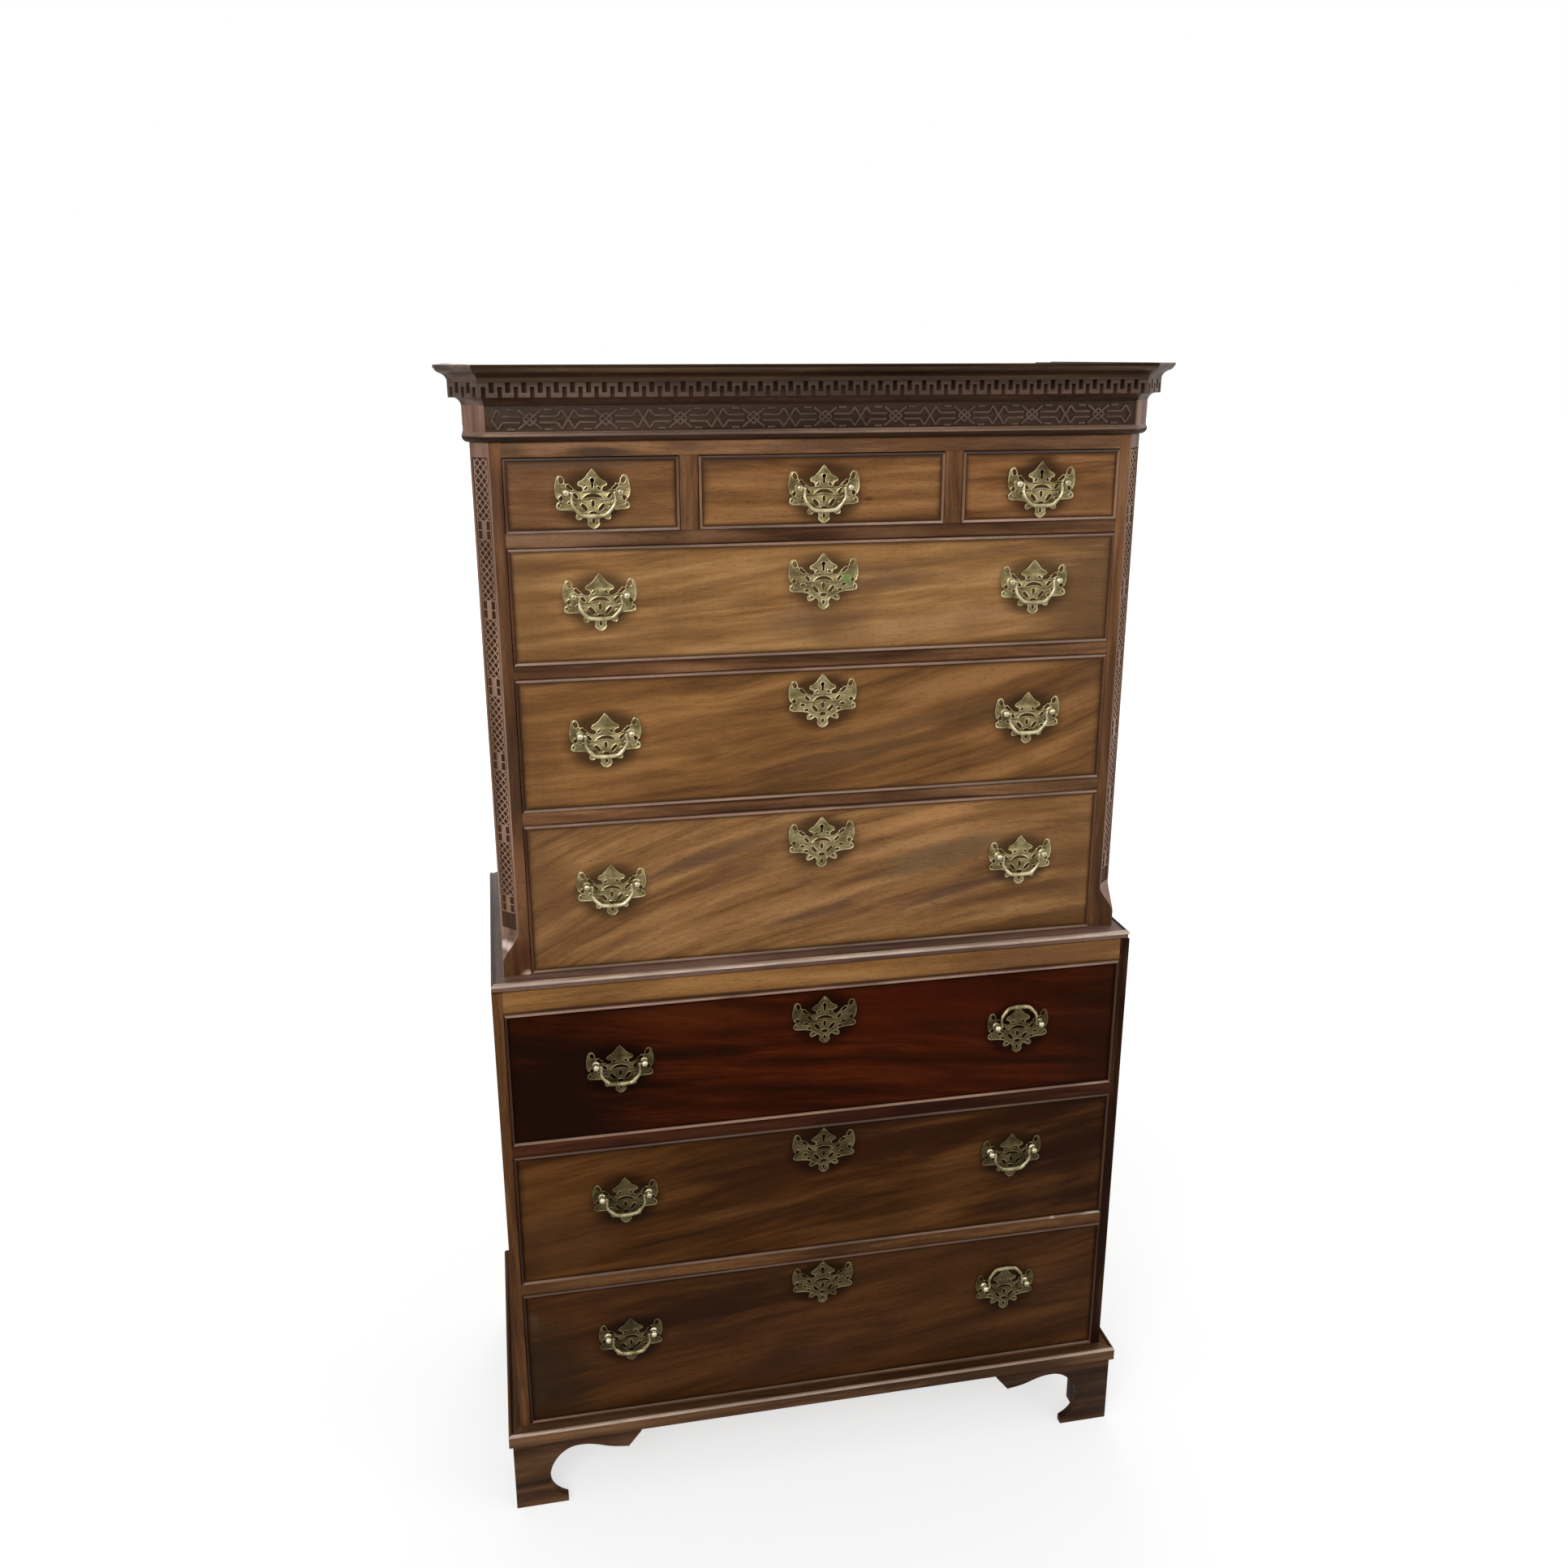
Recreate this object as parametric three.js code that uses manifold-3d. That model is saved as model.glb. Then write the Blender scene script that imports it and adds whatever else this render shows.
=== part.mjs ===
// Chest on chest: a chest of three long drawers carries a narrower chest of three long and
// three short drawers, in mahogany, with pierced brass handles, a dentil cornice, blind frets
// on the frieze and on the canted corners, and bracket feet.
// Millimetres, +Z up, front towards -Y. The origin is on the floor, midway between the sides
// and midway between the nose of the base moulding and the back boards.
import * as THREE from 'three';
import { mergeVertices } from 'three/addons/utils/BufferGeometryUtils.js';
import Module from 'manifold-3d';

const wasm = await Module();
wasm.setup();

// Clearances and overruns
const seatGap = 0.3; // between two glued or resting pieces
const drawerGap = 1; // round a drawer front, at its sides and top
const pinGap = 0.4; // round a bail pin in its post
const overrun = 5; // how far a cutter runs past the face it leaves
const housing = 6; // how far a board is let into the piece that holds it
const gridSteps = 1024; // steps in one millimetre that every corner is rounded to

// Lower case
const lowerWidth = 1041;
const lowerDepth = 500;
const lowerSide = 16.2; // thickness of the case side, which shows at the front
const lowerRows = [254, 237, 228]; // drawer openings from the bottom up
const lowerTopRail = 36.8;
const bottomRailShow = 3.2; // bottom rail showing above the base moulding

// Upper case
const upperInset = 20.5; // upper case inside each side of the lower case
const upperSetback = 28.7; // from the lower case's front to the upper case's front
const upperSide = 18;
const upperRows = [240, 203, 169, 105];
const upperBoard = 15.4; // bottom board, hidden by the waist moulding
const postWidth = 41.6;
const postDepth = 45;
const shortWidth = 248; // opening of an outer short drawer
const partition = 26.4;
const topBoard = 18;
const topSink = 6; // top board below the cornice's top edge
const frontBoard = 20; // front board behind the frieze and the cornice

// Rails, dust boards and backs of both cases
const railHeight = 20;
const railDepth = 48;
const dustBoard = 11;
const bottomBoard = 18;
const guideHeight = 20;
const backBoard = 10;
const backGroove = 3;
const backBoardCount = 4;
const stopWidth = 36;
const stopDepth = 14;
const stopHeight = 5;

// Canted corners of the upper case
const cant = 25.9; // along each face
const recessMargin = 4.8; // plain border beside the corner fret
const recessDepth = 1.8;
const recessTop = 21.5; // below the astragal
const recessFoot = 74; // above the upper case's openings
const tongueTop = 66;
const tongueHeight = 42;
const cornerFretFoot = 25; // fret above the foot of its recess
const cornerFretBar = 3.4;
const cornerFretRepeats = 6;

// Drawers
const drawerFront = 20;
const drawerSide = 9;
const drawerBottom = 7;
const drawerBottomLift = 8.5; // bottom above the running edge
const drawerSideDrop = 9; // sides below the top of the front
const drawerBackDrop = 16;
const drawerBackRoom = 12; // behind a closed drawer
const beadWidth = 4;
const beadProud = 2.8;
const beadRoot = 2;
const keyholeDepth = 11;

// Handles
const plateHalf = 52;
const plateHeight = 84;
const plateThick = 1.6;
const handleInset = 128.4; // long drawers' handles from the side of the upper case's openings
const handleDrops = { lower: [63.3, 52.3, 62.2], upper: [64.3, 49.7, 32.4] }; // crest below the bead
const escutcheonDrops = { lower: [0.6, 0.6, 10.2], upper: [10.3, 5.9, 13] };
const postSpread = 38; // each post from the middle of its plate
const pivotDrop = 32; // pivot line below the crest
const postReach = 7.6; // pivot line in front of the plate
const postRadius = 3.6;
const knobRadius = 4.6;
const knobLength = 8;
const pinRadius = 1.2;
const pinBite = 3.4; // pin end inside the post
const bailArm = 30.6; // arm from the middle, beside the knobs
const bailDrop = 33;
const bailRadius = 2;
const bailBarRadius = 2.75;
const keyRadius = 2.6;
const keyDrop = 17;
const keySlot = 9;

// Waist moulding, at the foot of the upper case
const waistStep = 0.5; // moulding's top below the lowest drawer opening
const waistNose = 9;

// Base moulding and feet
const baseHeight = 25;
const baseProjection = 21;
const baseFillet = 4;
const footHeight = 130;
const footFace = 15; // foot's face in front of the case
const footLength = 219;
const footThick = 20;
const footBlock = 34;
const footBlockLift = 10;
const rearFootLength = 120;

// Frieze, its fret and the cornice
const friezeBottom = 20.3; // above the short drawers
const astragalHeight = 15;
const astragalProud = 10;
const friezeHeight = 56;
const friezeGround = 5;
const friezeCorner = 7.6; // plain canted and side parts
const friezeLine = 2;
const fretBar = 3.6;
const fretHeight = 31;
const fretMargin = 6;
const fretRepeats = 9;
const fretThick = 2.3;
const corniceHeight = 47;
const bedHeight = 4;
const dentilProud = 24.5;
const dentilHeight = 20;
const dentilPitch = 21.65;
const dentilGap = 5.6;
const dentilGapHeight = 14;
const dentilDepth = 6.5;
const dentilFillet = 6;
const coronaProud = 42;
const coronaHeight = 5;

// Shares of an outline's own width and height, chosen by hand
const plateOutlineShares = [
  [0.212, 0.149], [0.39, 0.22], [0.269, 0.333], [0.404, 0.375], [0.69, 0.235],
  [0.846, 0.101], [0.98, 0.13], [0.98, 0.476], [0.885, 0.524], [1, 0.6], [0.96, 0.668],
  [0.385, 0.73], [0.45, 0.82], [0.19, 0.8], [0.165, 0.92],
];
const archShares = [[-0.26, 0.482], [-0.115, 0.435], [0.115, 0.435], [0.26, 0.482], [0, 0.458]];
const lozengeShares = [[0, 0.524], [0.07, 0.58], [0, 0.64], [-0.07, 0.58]];
const wingHoleShares = [
  [[0.81, 0.19], [0.9, 0.155], [0.88, 0.22]],
  [[0.58, 0.33], [0.7, 0.28], [0.72, 0.36]],
];
const bracketShares = [ // a corner, or a curve's control point and its end
  [0.4, 0], [0.4, 0.17], [0.28, 0.26, 0.275, 0.46], [0.275, 0.67, 0.4, 0.83],
  [0.47, 0.93, 0.6, 0.88], [0.84, 0.77], [0.96, 0.74, 1, 1],
];
const bailShares = [[1, 0.07], [0.98, 0.5], [0.66, 0.93]];

// Levels and planes that follow from the sizes above
const backY = (lowerDepth + baseProjection) / 2;
const lowerFrontY = backY - lowerDepth;
const upperFrontY = lowerFrontY + upperSetback;
const lowerHalf = lowerWidth / 2;
const upperHalf = lowerHalf - upperInset;
const lowerOpening = lowerHalf - lowerSide;
const upperOpening = upperHalf - postWidth;
const handleX = upperOpening - handleInset;
const backFrontY = backY - backBoard;
const caseBottomZ = footHeight + seatGap;

// Floors of the openings from a first floor up, with one more entry for the top of the last
function floorsOf(firstFloor, rows) {
  const floors = [firstFloor];
  for (const row of rows) floors.push(floors.at(-1) + row + railHeight);
  return floors;
}

const lowerFloors = floorsOf(caseBottomZ + baseHeight + bottomRailShow, lowerRows);
const lowerRoofZ = lowerFloors.at(-1) - railHeight;
const lowerTopZ = lowerRoofZ + lowerTopRail;
const upperBaseZ = lowerTopZ + seatGap;
const upperFloors = floorsOf(upperBaseZ + upperBoard, upperRows);
const upperRoofZ = upperFloors.at(-1) - railHeight;
const friezeZ = upperRoofZ + friezeBottom;
const corniceZ = friezeZ + friezeHeight + seatGap;
const topZ = corniceZ + corniceHeight;
const upperTopZ = topZ - topSink;

// Finishes
const finish = (color, roughness, metalness) =>
  new THREE.MeshStandardMaterial({ color, roughness, metalness });
const carcassWood = finish(0x6b4a30, 0.45, 0);
const drawerWood = finish(0x7d5532, 0.4, 0);
const mouldingWood = finish(0x4a3324, 0.45, 0);
const fretWood = finish(0x5c4334, 0.5, 0);
const backWood = finish(0x8a6f4c, 0.75, 0);
const brass = finish(0x968c5a, 0.35, 0.9);

// A closed geometry as a solid that can be joined and cut. Its corners are moved to the
// nearest step of a fine grid, so that faces meant to be flush are exactly flush.
function solidOf(geometry) {
  const bare = geometry.clone();
  bare.deleteAttribute('normal');
  bare.deleteAttribute('uv');
  const position = bare.attributes.position;
  position.array.forEach((value, i) => {
    position.array[i] = Math.round(value * gridSteps) / gridSteps;
  });
  const merged = mergeVertices(bare);
  return new wasm.Manifold(new wasm.Mesh({
    numProp: 3,
    vertProperties: merged.attributes.position.array,
    triVerts: new Uint32Array(merged.index.array),
  }));
}

// A solid as a named mesh with its own finish
function pieceOf(name, solid, material) {
  const { vertProperties, triVerts } = solid.getMesh();
  const geometry = new THREE.BufferGeometry();
  geometry.setAttribute('position', new THREE.BufferAttribute(vertProperties, 3));
  geometry.setIndex(new THREE.BufferAttribute(triVerts, 1));
  geometry.computeVertexNormals();
  const mesh = new THREE.Mesh(geometry, material.clone());
  mesh.name = name;
  return mesh;
}

// A box between two corners
function block(x0, x1, y0, y1, z0, z1) {
  const box = new THREE.BoxGeometry(x1 - x0, y1 - y0, z1 - z0);
  box.translate((x0 + x1) / 2, (y0 + y1) / 2, (z0 + z1) / 2);
  return solidOf(box);
}

const joined = (solids) => solids.reduce((whole, solid) => whole.add(solid));
const mirroredX = (solid) => solid.mirror([1, 0, 0]);

// A shape drawn as seen from the front, from its back plane backY towards the viewer
function frontPanel(shape, thick, panelBackY = 0, curveSegments = 4) {
  const panel = new THREE.ExtrudeGeometry(shape, { depth: thick, bevelEnabled: false, curveSegments });
  panel.rotateX(Math.PI / 2).translate(0, panelBackY, 0);
  return solidOf(panel);
}

const rectangle = (x0, x1, y0, y1) => [[x0, y0], [x1, y0], [x1, y1], [x0, y1]];
const shapeOf = (points) => new THREE.Shape(points.map(([x, y]) => new THREE.Vector2(x, y)));

// A panel sawn from one board: an outline with openings cut through it
function sawnPanel(outline, openings, thick, panelBackY) {
  const cuts = openings.map(
    (opening) => frontPanel(shapeOf(opening), thick + 2 * overrun, panelBackY + overrun));
  return frontPanel(shapeOf(outline), thick, panelBackY).subtract(joined(cuts));
}

// A moulded block is the part common to long bars, one for each face of the plan. Each bar's
// section is drawn as distance in front of its face against height.
function bar(section, face, length) {
  const geometry = new THREE.ExtrudeGeometry(section, {
    depth: length,
    bevelEnabled: false,
    curveSegments: 4,
  });
  geometry.translate(0, 0, -length / 2);
  const outwards = new THREE.Vector3(Math.cos(face.turn), Math.sin(face.turn), 0);
  const up = new THREE.Vector3(0, 0, 1);
  const along = outwards.clone().cross(up);
  const place = new THREE.Matrix4().makeBasis(outwards, up, along);
  place.setPosition(outwards.clone().multiplyScalar(face.reach));
  return solidOf(geometry.applyMatrix4(place));
}

function mouldedBlock(faces, sectionOf) {
  const length = 2 * (lowerWidth + lowerDepth);
  const bars = faces.map((face) => bar(sectionOf(face), face, length));
  return bars.reduce((whole, solid) => whole.intersect(solid));
}

// Faces of the two plans: front, sides and, on the upper case, the canted corners
const sideFaces = (half) => [
  { kind: 'side', turn: 0, reach: half },
  { kind: 'side', turn: Math.PI, reach: half },
];
const lowerFaces = [{ kind: 'front', turn: -Math.PI / 2, reach: -lowerFrontY }, ...sideFaces(lowerHalf)];
const cantReach = (upperHalf - upperFrontY - cant) / Math.SQRT2;
const squareFaces = [{ kind: 'front', turn: -Math.PI / 2, reach: -upperFrontY }, ...sideFaces(upperHalf)];
const cantedFaces = [
  ...squareFaces,
  { kind: 'cant', turn: -Math.PI / 4, reach: cantReach },
  { kind: 'cant', turn: -Math.PI * 3 / 4, reach: cantReach },
];

// Every section runs back past the far side of the case
const sectionBack = -2 * lowerWidth;

// A moulding round the front and sides of a case: open at the back and hollow inside
function wrapMoulding(faces, sectionOf, bottomZ, mouldingTopZ) {
  const plainSection = () => shapeOf(
    rectangle(sectionBack, seatGap, bottomZ - overrun, mouldingTopZ + overrun));
  const rear = block(sectionBack, -sectionBack, backY, backY - sectionBack,
    bottomZ - overrun, mouldingTopZ + overrun);
  return mouldedBlock(faces, sectionOf).subtract(mouldedBlock(faces, plainSection)).subtract(rear);
}

// A section's outline, closed far behind the face
function sectionFrom(bottomZ, draw, sectionTopZ) {
  const section = new THREE.Shape();
  section.moveTo(sectionBack, bottomZ);
  draw(section);
  section.lineTo(sectionBack, sectionTopZ);
  return section;
}

// A rail with the dust board behind it, both let into the case's sides
function railAndDustBoard(half, frontY, floorZ) {
  const rail = block(-half, half, frontY, frontY + railDepth, floorZ - railHeight, floorZ);
  const boardFrontY = frontY + railDepth - housing;
  const board = block(-half, half, boardFrontY, backFrontY - seatGap, floorZ - dustBoard, floorZ);
  return rail.add(board);
}

// The two stops on a rail that halt a drawer by the back of its front
function drawerStops(centreX, width, frontY, floorZ) {
  const stopY = frontY + drawerFront + seatGap;
  return [-1, 1].map((side) => {
    const x = centreX + side * width / 4;
    return block(x - stopWidth / 2, x + stopWidth / 2, stopY, stopY + stopDepth,
      floorZ - seatGap, floorZ + stopHeight);
  });
}

function lowerCarcass() {
  const inner = lowerOpening + housing;
  const boards = lowerFloors.slice(1, -1).map((floor) => railAndDustBoard(inner, lowerFrontY, floor));
  const stops = lowerFloors.slice(0, -1).flatMap(
    (floor) => drawerStops(0, 2 * lowerOpening, lowerFrontY, floor));
  const side = block(lowerOpening, lowerHalf, lowerFrontY, backY, caseBottomZ, lowerTopZ);
  return joined([
    side,
    mirroredX(side),
    block(-inner, inner, lowerFrontY, backFrontY - seatGap, lowerFloors[0] - bottomBoard, lowerFloors[0]),
    block(-inner, inner, lowerFrontY, lowerFrontY + railDepth, caseBottomZ, lowerFloors[0]),
    block(-inner, inner, lowerFrontY, lowerFrontY + frontBoard, lowerRoofZ, lowerTopZ),
    block(-inner, inner, lowerFrontY, backFrontY - seatGap, lowerTopZ - topBoard, lowerTopZ),
    ...boards,
    ...stops,
  ]);
}

// Vertical back boards nailed between the sides, with a groove along each joint
function backPanel(half, bottomZ, panelTopZ) {
  const width = 2 * (half - seatGap);
  const panel = block(-width / 2, width / 2, backFrontY, backY, bottomZ, panelTopZ);
  const grooves = [];
  for (let i = 1; i < backBoardCount; i += 1) {
    const x = width * (i / backBoardCount - 1 / 2);
    grooves.push(block(x - backGroove / 2, x + backGroove / 2, backY - backGroove, backY + overrun,
      bottomZ - overrun, panelTopZ + overrun));
  }
  return panel.subtract(joined(grooves));
}

// The cut that cants a square corner: it ends below in a lamb's tongue, drawn as depth behind
// the square corner against height, and lies across the left-hand corner
const cantDepth = cant / Math.SQRT2;
const tongueZ = upperFloors[0] + tongueTop;

function cantCutter() {
  const cut = new THREE.Shape();
  cut.moveTo(-overrun, upperTopZ + overrun);
  cut.lineTo(cantDepth, upperTopZ + overrun);
  cut.lineTo(cantDepth, tongueZ);
  cut.quadraticCurveTo(cantDepth, tongueZ - tongueHeight / 2, cantDepth / 2, tongueZ - tongueHeight / 2);
  cut.quadraticCurveTo(0, tongueZ - tongueHeight / 2, -overrun, tongueZ - tongueHeight);
  const length = 4 * cant;
  const geometry = new THREE.ExtrudeGeometry(cut, { depth: length, bevelEnabled: false, curveSegments: 4 });
  geometry.translate(0, 0, -length / 2);
  const inwards = new THREE.Vector3(1, 1, 0).normalize();
  const up = new THREE.Vector3(0, 0, 1);
  const place = new THREE.Matrix4().makeBasis(inwards, up, inwards.clone().cross(up));
  place.setPosition(-upperHalf, upperFrontY, 0);
  return solidOf(geometry.applyMatrix4(place));
}

const cantWidth = cant * Math.SQRT2;
const recessHalf = cantWidth / 2 - recessMargin;
const recessBottomZ = upperFloors[0] + recessFoot;
const recessTopZ = friezeZ - recessTop;

// Turns what is drawn from the front onto the left-hand canted face, y measured from the face
function onCant(solid) {
  return solid.rotate([0, 0, -45]).translate([-upperHalf + cant / 2, upperFrontY + cant / 2, 0]);
}

function cornerRecess() {
  return onCant(block(-recessHalf, recessHalf, -overrun, recessDepth, recessBottomZ, recessTopZ));
}

// The corner fret: lozenges linked by crossings, sawn from one strip
function cornerFret() {
  const half = recessHalf - seatGap;
  const bottomZ = recessBottomZ + cornerFretFoot;
  const fretTopZ = recessTopZ - seatGap;
  const openings = [];
  const pitch = (fretTopZ - bottomZ - cornerFretBar) / cornerFretRepeats;
  const inner = half - cornerFretBar;
  const rise = pitch / 4;
  const slant = cornerFretBar / Math.sin(Math.atan2(rise, inner));
  const reach = cornerFretBar * rise / inner;
  for (let i = 0; i < cornerFretRepeats; i += 1) {
    const low = bottomZ + cornerFretBar + i * pitch;
    for (const side of [-1, 1]) {
      // beside the crossing, beside the lozenge and beside the next crossing
      openings.push([
        [side * inner, low],
        [side * inner, low + 2 * rise - slant],
        [side * cornerFretBar, low + rise - slant / 2 + reach / 2],
      ]);
      openings.push([
        [side * inner, low + 2 * rise],
        [side * inner, low + 4 * rise - cornerFretBar],
        [side * cornerFretBar, low + 3 * rise - cornerFretBar / 2],
      ]);
    }
  }
  const strip = rectangle(-half, half, bottomZ, fretTopZ);
  return onCant(sawnPanel(strip, openings, recessDepth - seatGap, recessDepth - seatGap));
}

function upperCarcass() {
  const inner = upperHalf - upperSide + housing;
  const boards = upperFloors.slice(1, -1).map((floor) => railAndDustBoard(inner, upperFrontY, floor));
  const sideWall = block(upperHalf - upperSide, upperHalf, upperFrontY, backY, upperBaseZ, upperTopZ);
  const post = block(upperOpening, upperHalf, upperFrontY, upperFrontY + postDepth, upperBaseZ, upperTopZ);
  const guideY = upperFrontY + postDepth - housing;
  const guides = upperFloors.slice(0, -1).map((floor) =>
    block(upperOpening, inner, guideY, backFrontY - seatGap, floor - housing, floor + guideHeight));
  const half = joined([sideWall, post, ...guides]);
  const shortFloor = upperFloors.at(-2);
  const partX = upperOpening - shortWidth;
  const part = block(partX - partition, partX, upperFrontY, upperFrontY + railDepth,
    shortFloor - housing, upperRoofZ + housing);
  const partGuide = block(partX - partition, partX, upperFrontY + railDepth - housing,
    backFrontY - seatGap, shortFloor - housing, shortFloor + guideHeight);
  const longStops = upperFloors.slice(0, -2).flatMap(
    (floor) => drawerStops(0, 2 * upperOpening, upperFrontY, floor));
  const shortStops = shortDrawers().flatMap(
    ({ x, opening }) => drawerStops(x, opening, upperFrontY, shortFloor));
  const square = joined([
    half,
    mirroredX(half),
    part.add(partGuide),
    mirroredX(part.add(partGuide)),
    block(-inner, inner, upperFrontY, backFrontY - seatGap, upperBaseZ, upperFloors[0]),
    block(-inner, inner, upperFrontY, upperFrontY + frontBoard, upperRoofZ, upperTopZ),
    block(-inner, inner, upperFrontY, upperFrontY + railDepth, upperRoofZ, upperRoofZ + railHeight),
    block(-inner, inner, upperFrontY, backFrontY - seatGap, upperTopZ - topBoard, upperTopZ),
    ...boards,
    ...longStops,
    ...shortStops,
  ]);
  const cut = cantCutter().add(cornerRecess());
  return square.subtract(cut).subtract(mirroredX(cut));
}

// Openings of the short row, from left to right
function shortDrawers() {
  const outer = upperOpening - shortWidth / 2;
  const middle = 2 * (upperOpening - shortWidth - partition);
  return [
    { name: 'left', x: -outer, opening: shortWidth },
    { name: 'middle', x: 0, opening: middle },
    { name: 'right', x: outer, opening: shortWidth },
  ];
}

// A keyhole: a round eye with a slot below it, from its own eye
function keyholePoints(x, z) {
  const slotHalf = keyRadius / 2;
  return [
    [x - slotHalf, z - keySlot],
    [x + slotHalf, z - keySlot],
    [x + keyRadius, z],
    [x + slotHalf, z + keyRadius],
    [x - slotHalf, z + keyRadius],
    [x - keyRadius, z],
  ];
}

// A drawer about the middle of its front's lower edge: front with its bead, sides, back and a
// bottom raised over the stops. A keyhole is sunk in the front at the given height.
function drawer(width, height, length, keyholeZ) {
  const half = width / 2;
  const sideTop = height - drawerSideDrop;
  const bottomTop = drawerBottomLift + drawerBottom;
  const box = block(-half, half, 0, length, 0, sideTop)
    .subtract(block(-half + drawerSide, half - drawerSide, drawerFront, length - drawerSide,
      bottomTop, height))
    .subtract(block(-half + drawerSide, half - drawerSide, drawerFront, length + overrun,
      -overrun, drawerBottomLift))
    .subtract(block(-half + drawerSide, half - drawerSide, length - 2 * drawerSide, length + overrun,
      height - drawerBackDrop, height));
  const front = block(-half, half, 0, drawerFront, 0, height);
  const bead = sawnPanel(
    rectangle(-half, half, 0, height),
    [rectangle(-half + beadWidth, half - beadWidth, beadWidth, height - beadWidth)],
    beadProud + beadRoot,
    beadRoot,
  );
  const keyhole = frontPanel(shapeOf(keyholePoints(0, keyholeZ)), keyholeDepth + overrun, keyholeDepth);
  return box.add(front).add(bead).subtract(keyhole);
}

// A pierced backplate about the tip of its crest, back face towards the drawer front
const onPlate = ([x, drop]) => [x * plateHalf, -drop * plateHeight];

function backplate(keyhole) {
  const right = plateOutlineShares.map(onPlate);
  const mirroredPoints = (points) => points.map(([x, z]) => [-x, z]).reverse();
  const outline = [[0, 0], ...right, [0, -plateHeight], ...mirroredPoints(right)];
  const openings = [archShares.map(onPlate), lozengeShares.map(onPlate)];
  for (const hole of wingHoleShares) {
    const points = hole.map(onPlate);
    openings.push(points, mirroredPoints(points));
  }
  if (keyhole) openings.push(keyholePoints(0, -keyDrop));
  return sawnPanel(outline, openings, plateThick, -seatGap);
}

// A bail post with its round head, drilled on its inner side for the pin
function bailPost() {
  const sides = 5;
  const profile = [
    [0, -plateThick / 2],
    [postRadius, -plateThick / 2],
    [postRadius, postReach],
    [knobRadius, postReach + knobLength / 2],
    [0, postReach + knobLength],
  ];
  const lathe = new THREE.LatheGeometry(profile.map(([r, y]) => new THREE.Vector2(r, y)), sides);
  lathe.rotateX(Math.PI).translate(postSpread, -seatGap - plateThick, -pivotDrop);
  const holeRadius = (pinRadius + pinGap) / Math.cos(Math.PI / sides);
  const hole = new THREE.CylinderGeometry(holeRadius, holeRadius, 2 * postRadius, sides);
  hole.rotateZ(Math.PI / 2).translate(postSpread - postRadius, pivotY, -pivotDrop);
  return solidOf(lathe).subtract(solidOf(hole));
}

const pivotY = -seatGap - plateThick - postReach;

function handlePlate(keyhole) {
  const post = bailPost();
  return backplate(keyhole).add(post).add(mirroredX(post));
}

// A bail about its pivot line: a straight rod bent along the bail's centre line, thicker
// towards the grip, with thin ends for pins
function bail() {
  const right = [
    [postSpread - postRadius + pinBite, 0, pinRadius],
    [bailArm + bailRadius, 0, pinRadius],
    ...bailShares.map(([across, down]) =>
      [bailArm * across, -bailDrop * down, bailRadius + (bailBarRadius - bailRadius) * down]),
  ];
  const centre = [...right, [0, -bailDrop, bailBarRadius], ...right.map(([x, z, r]) => [-x, z, r]).reverse()];
  const steps = centre.length - 1;
  const rod = new THREE.CylinderGeometry(1, 1, 1, 5, steps);
  const position = rod.attributes.position;
  for (let i = 0; i < position.count; i += 1) {
    const ring = Math.round((1 / 2 - position.getY(i)) * steps);
    const [x, z, radius] = centre[ring];
    const before = centre[Math.max(ring - 1, 0)];
    const after = centre[Math.min(ring + 1, steps)];
    const along = new THREE.Vector2(after[0] - before[0], after[1] - before[1]).normalize();
    const across = position.getX(i) * radius;
    position.setXYZ(i, x + along.y * across, position.getZ(i) * radius, z - along.x * across);
  }
  return solidOf(rod);
}

// Base moulding: a sloping top that runs into a round nose
function baseMoulding() {
  const section = () => sectionFrom(caseBottomZ, (path) => {
    path.lineTo(baseProjection - baseFillet, caseBottomZ);
    path.quadraticCurveTo(baseProjection, caseBottomZ, baseProjection, caseBottomZ + baseHeight / 3);
    path.quadraticCurveTo(baseProjection, caseBottomZ + baseHeight * 2 / 3,
      baseProjection - baseFillet, caseBottomZ + baseHeight * 2 / 3);
    path.quadraticCurveTo(baseFillet, caseBottomZ + baseHeight * 3 / 4, baseFillet, caseBottomZ + baseHeight);
  }, caseBottomZ + baseHeight);
  return wrapMoulding(lowerFaces, section, caseBottomZ, caseBottomZ + baseHeight);
}

// Waist moulding: a flat top that runs into a round nose over the lower case's edge
function waistMoulding() {
  const waistTopZ = upperFloors[0] - waistStep;
  const noseZ = waistTopZ - waistNose / 3;
  const section = ({ kind }) => {
    const reach = kind === 'front' ? upperSetback : upperInset;
    return sectionFrom(upperBaseZ, (path) => {
      path.lineTo(reach, upperBaseZ);
      path.lineTo(reach, waistTopZ - waistNose);
      path.quadraticCurveTo(reach, noseZ, reach - waistNose, noseZ);
      path.lineTo(0, waistTopZ);
    }, waistTopZ);
  };
  return wrapMoulding(squareFaces, section, upperBaseZ, waistTopZ);
}

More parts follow.
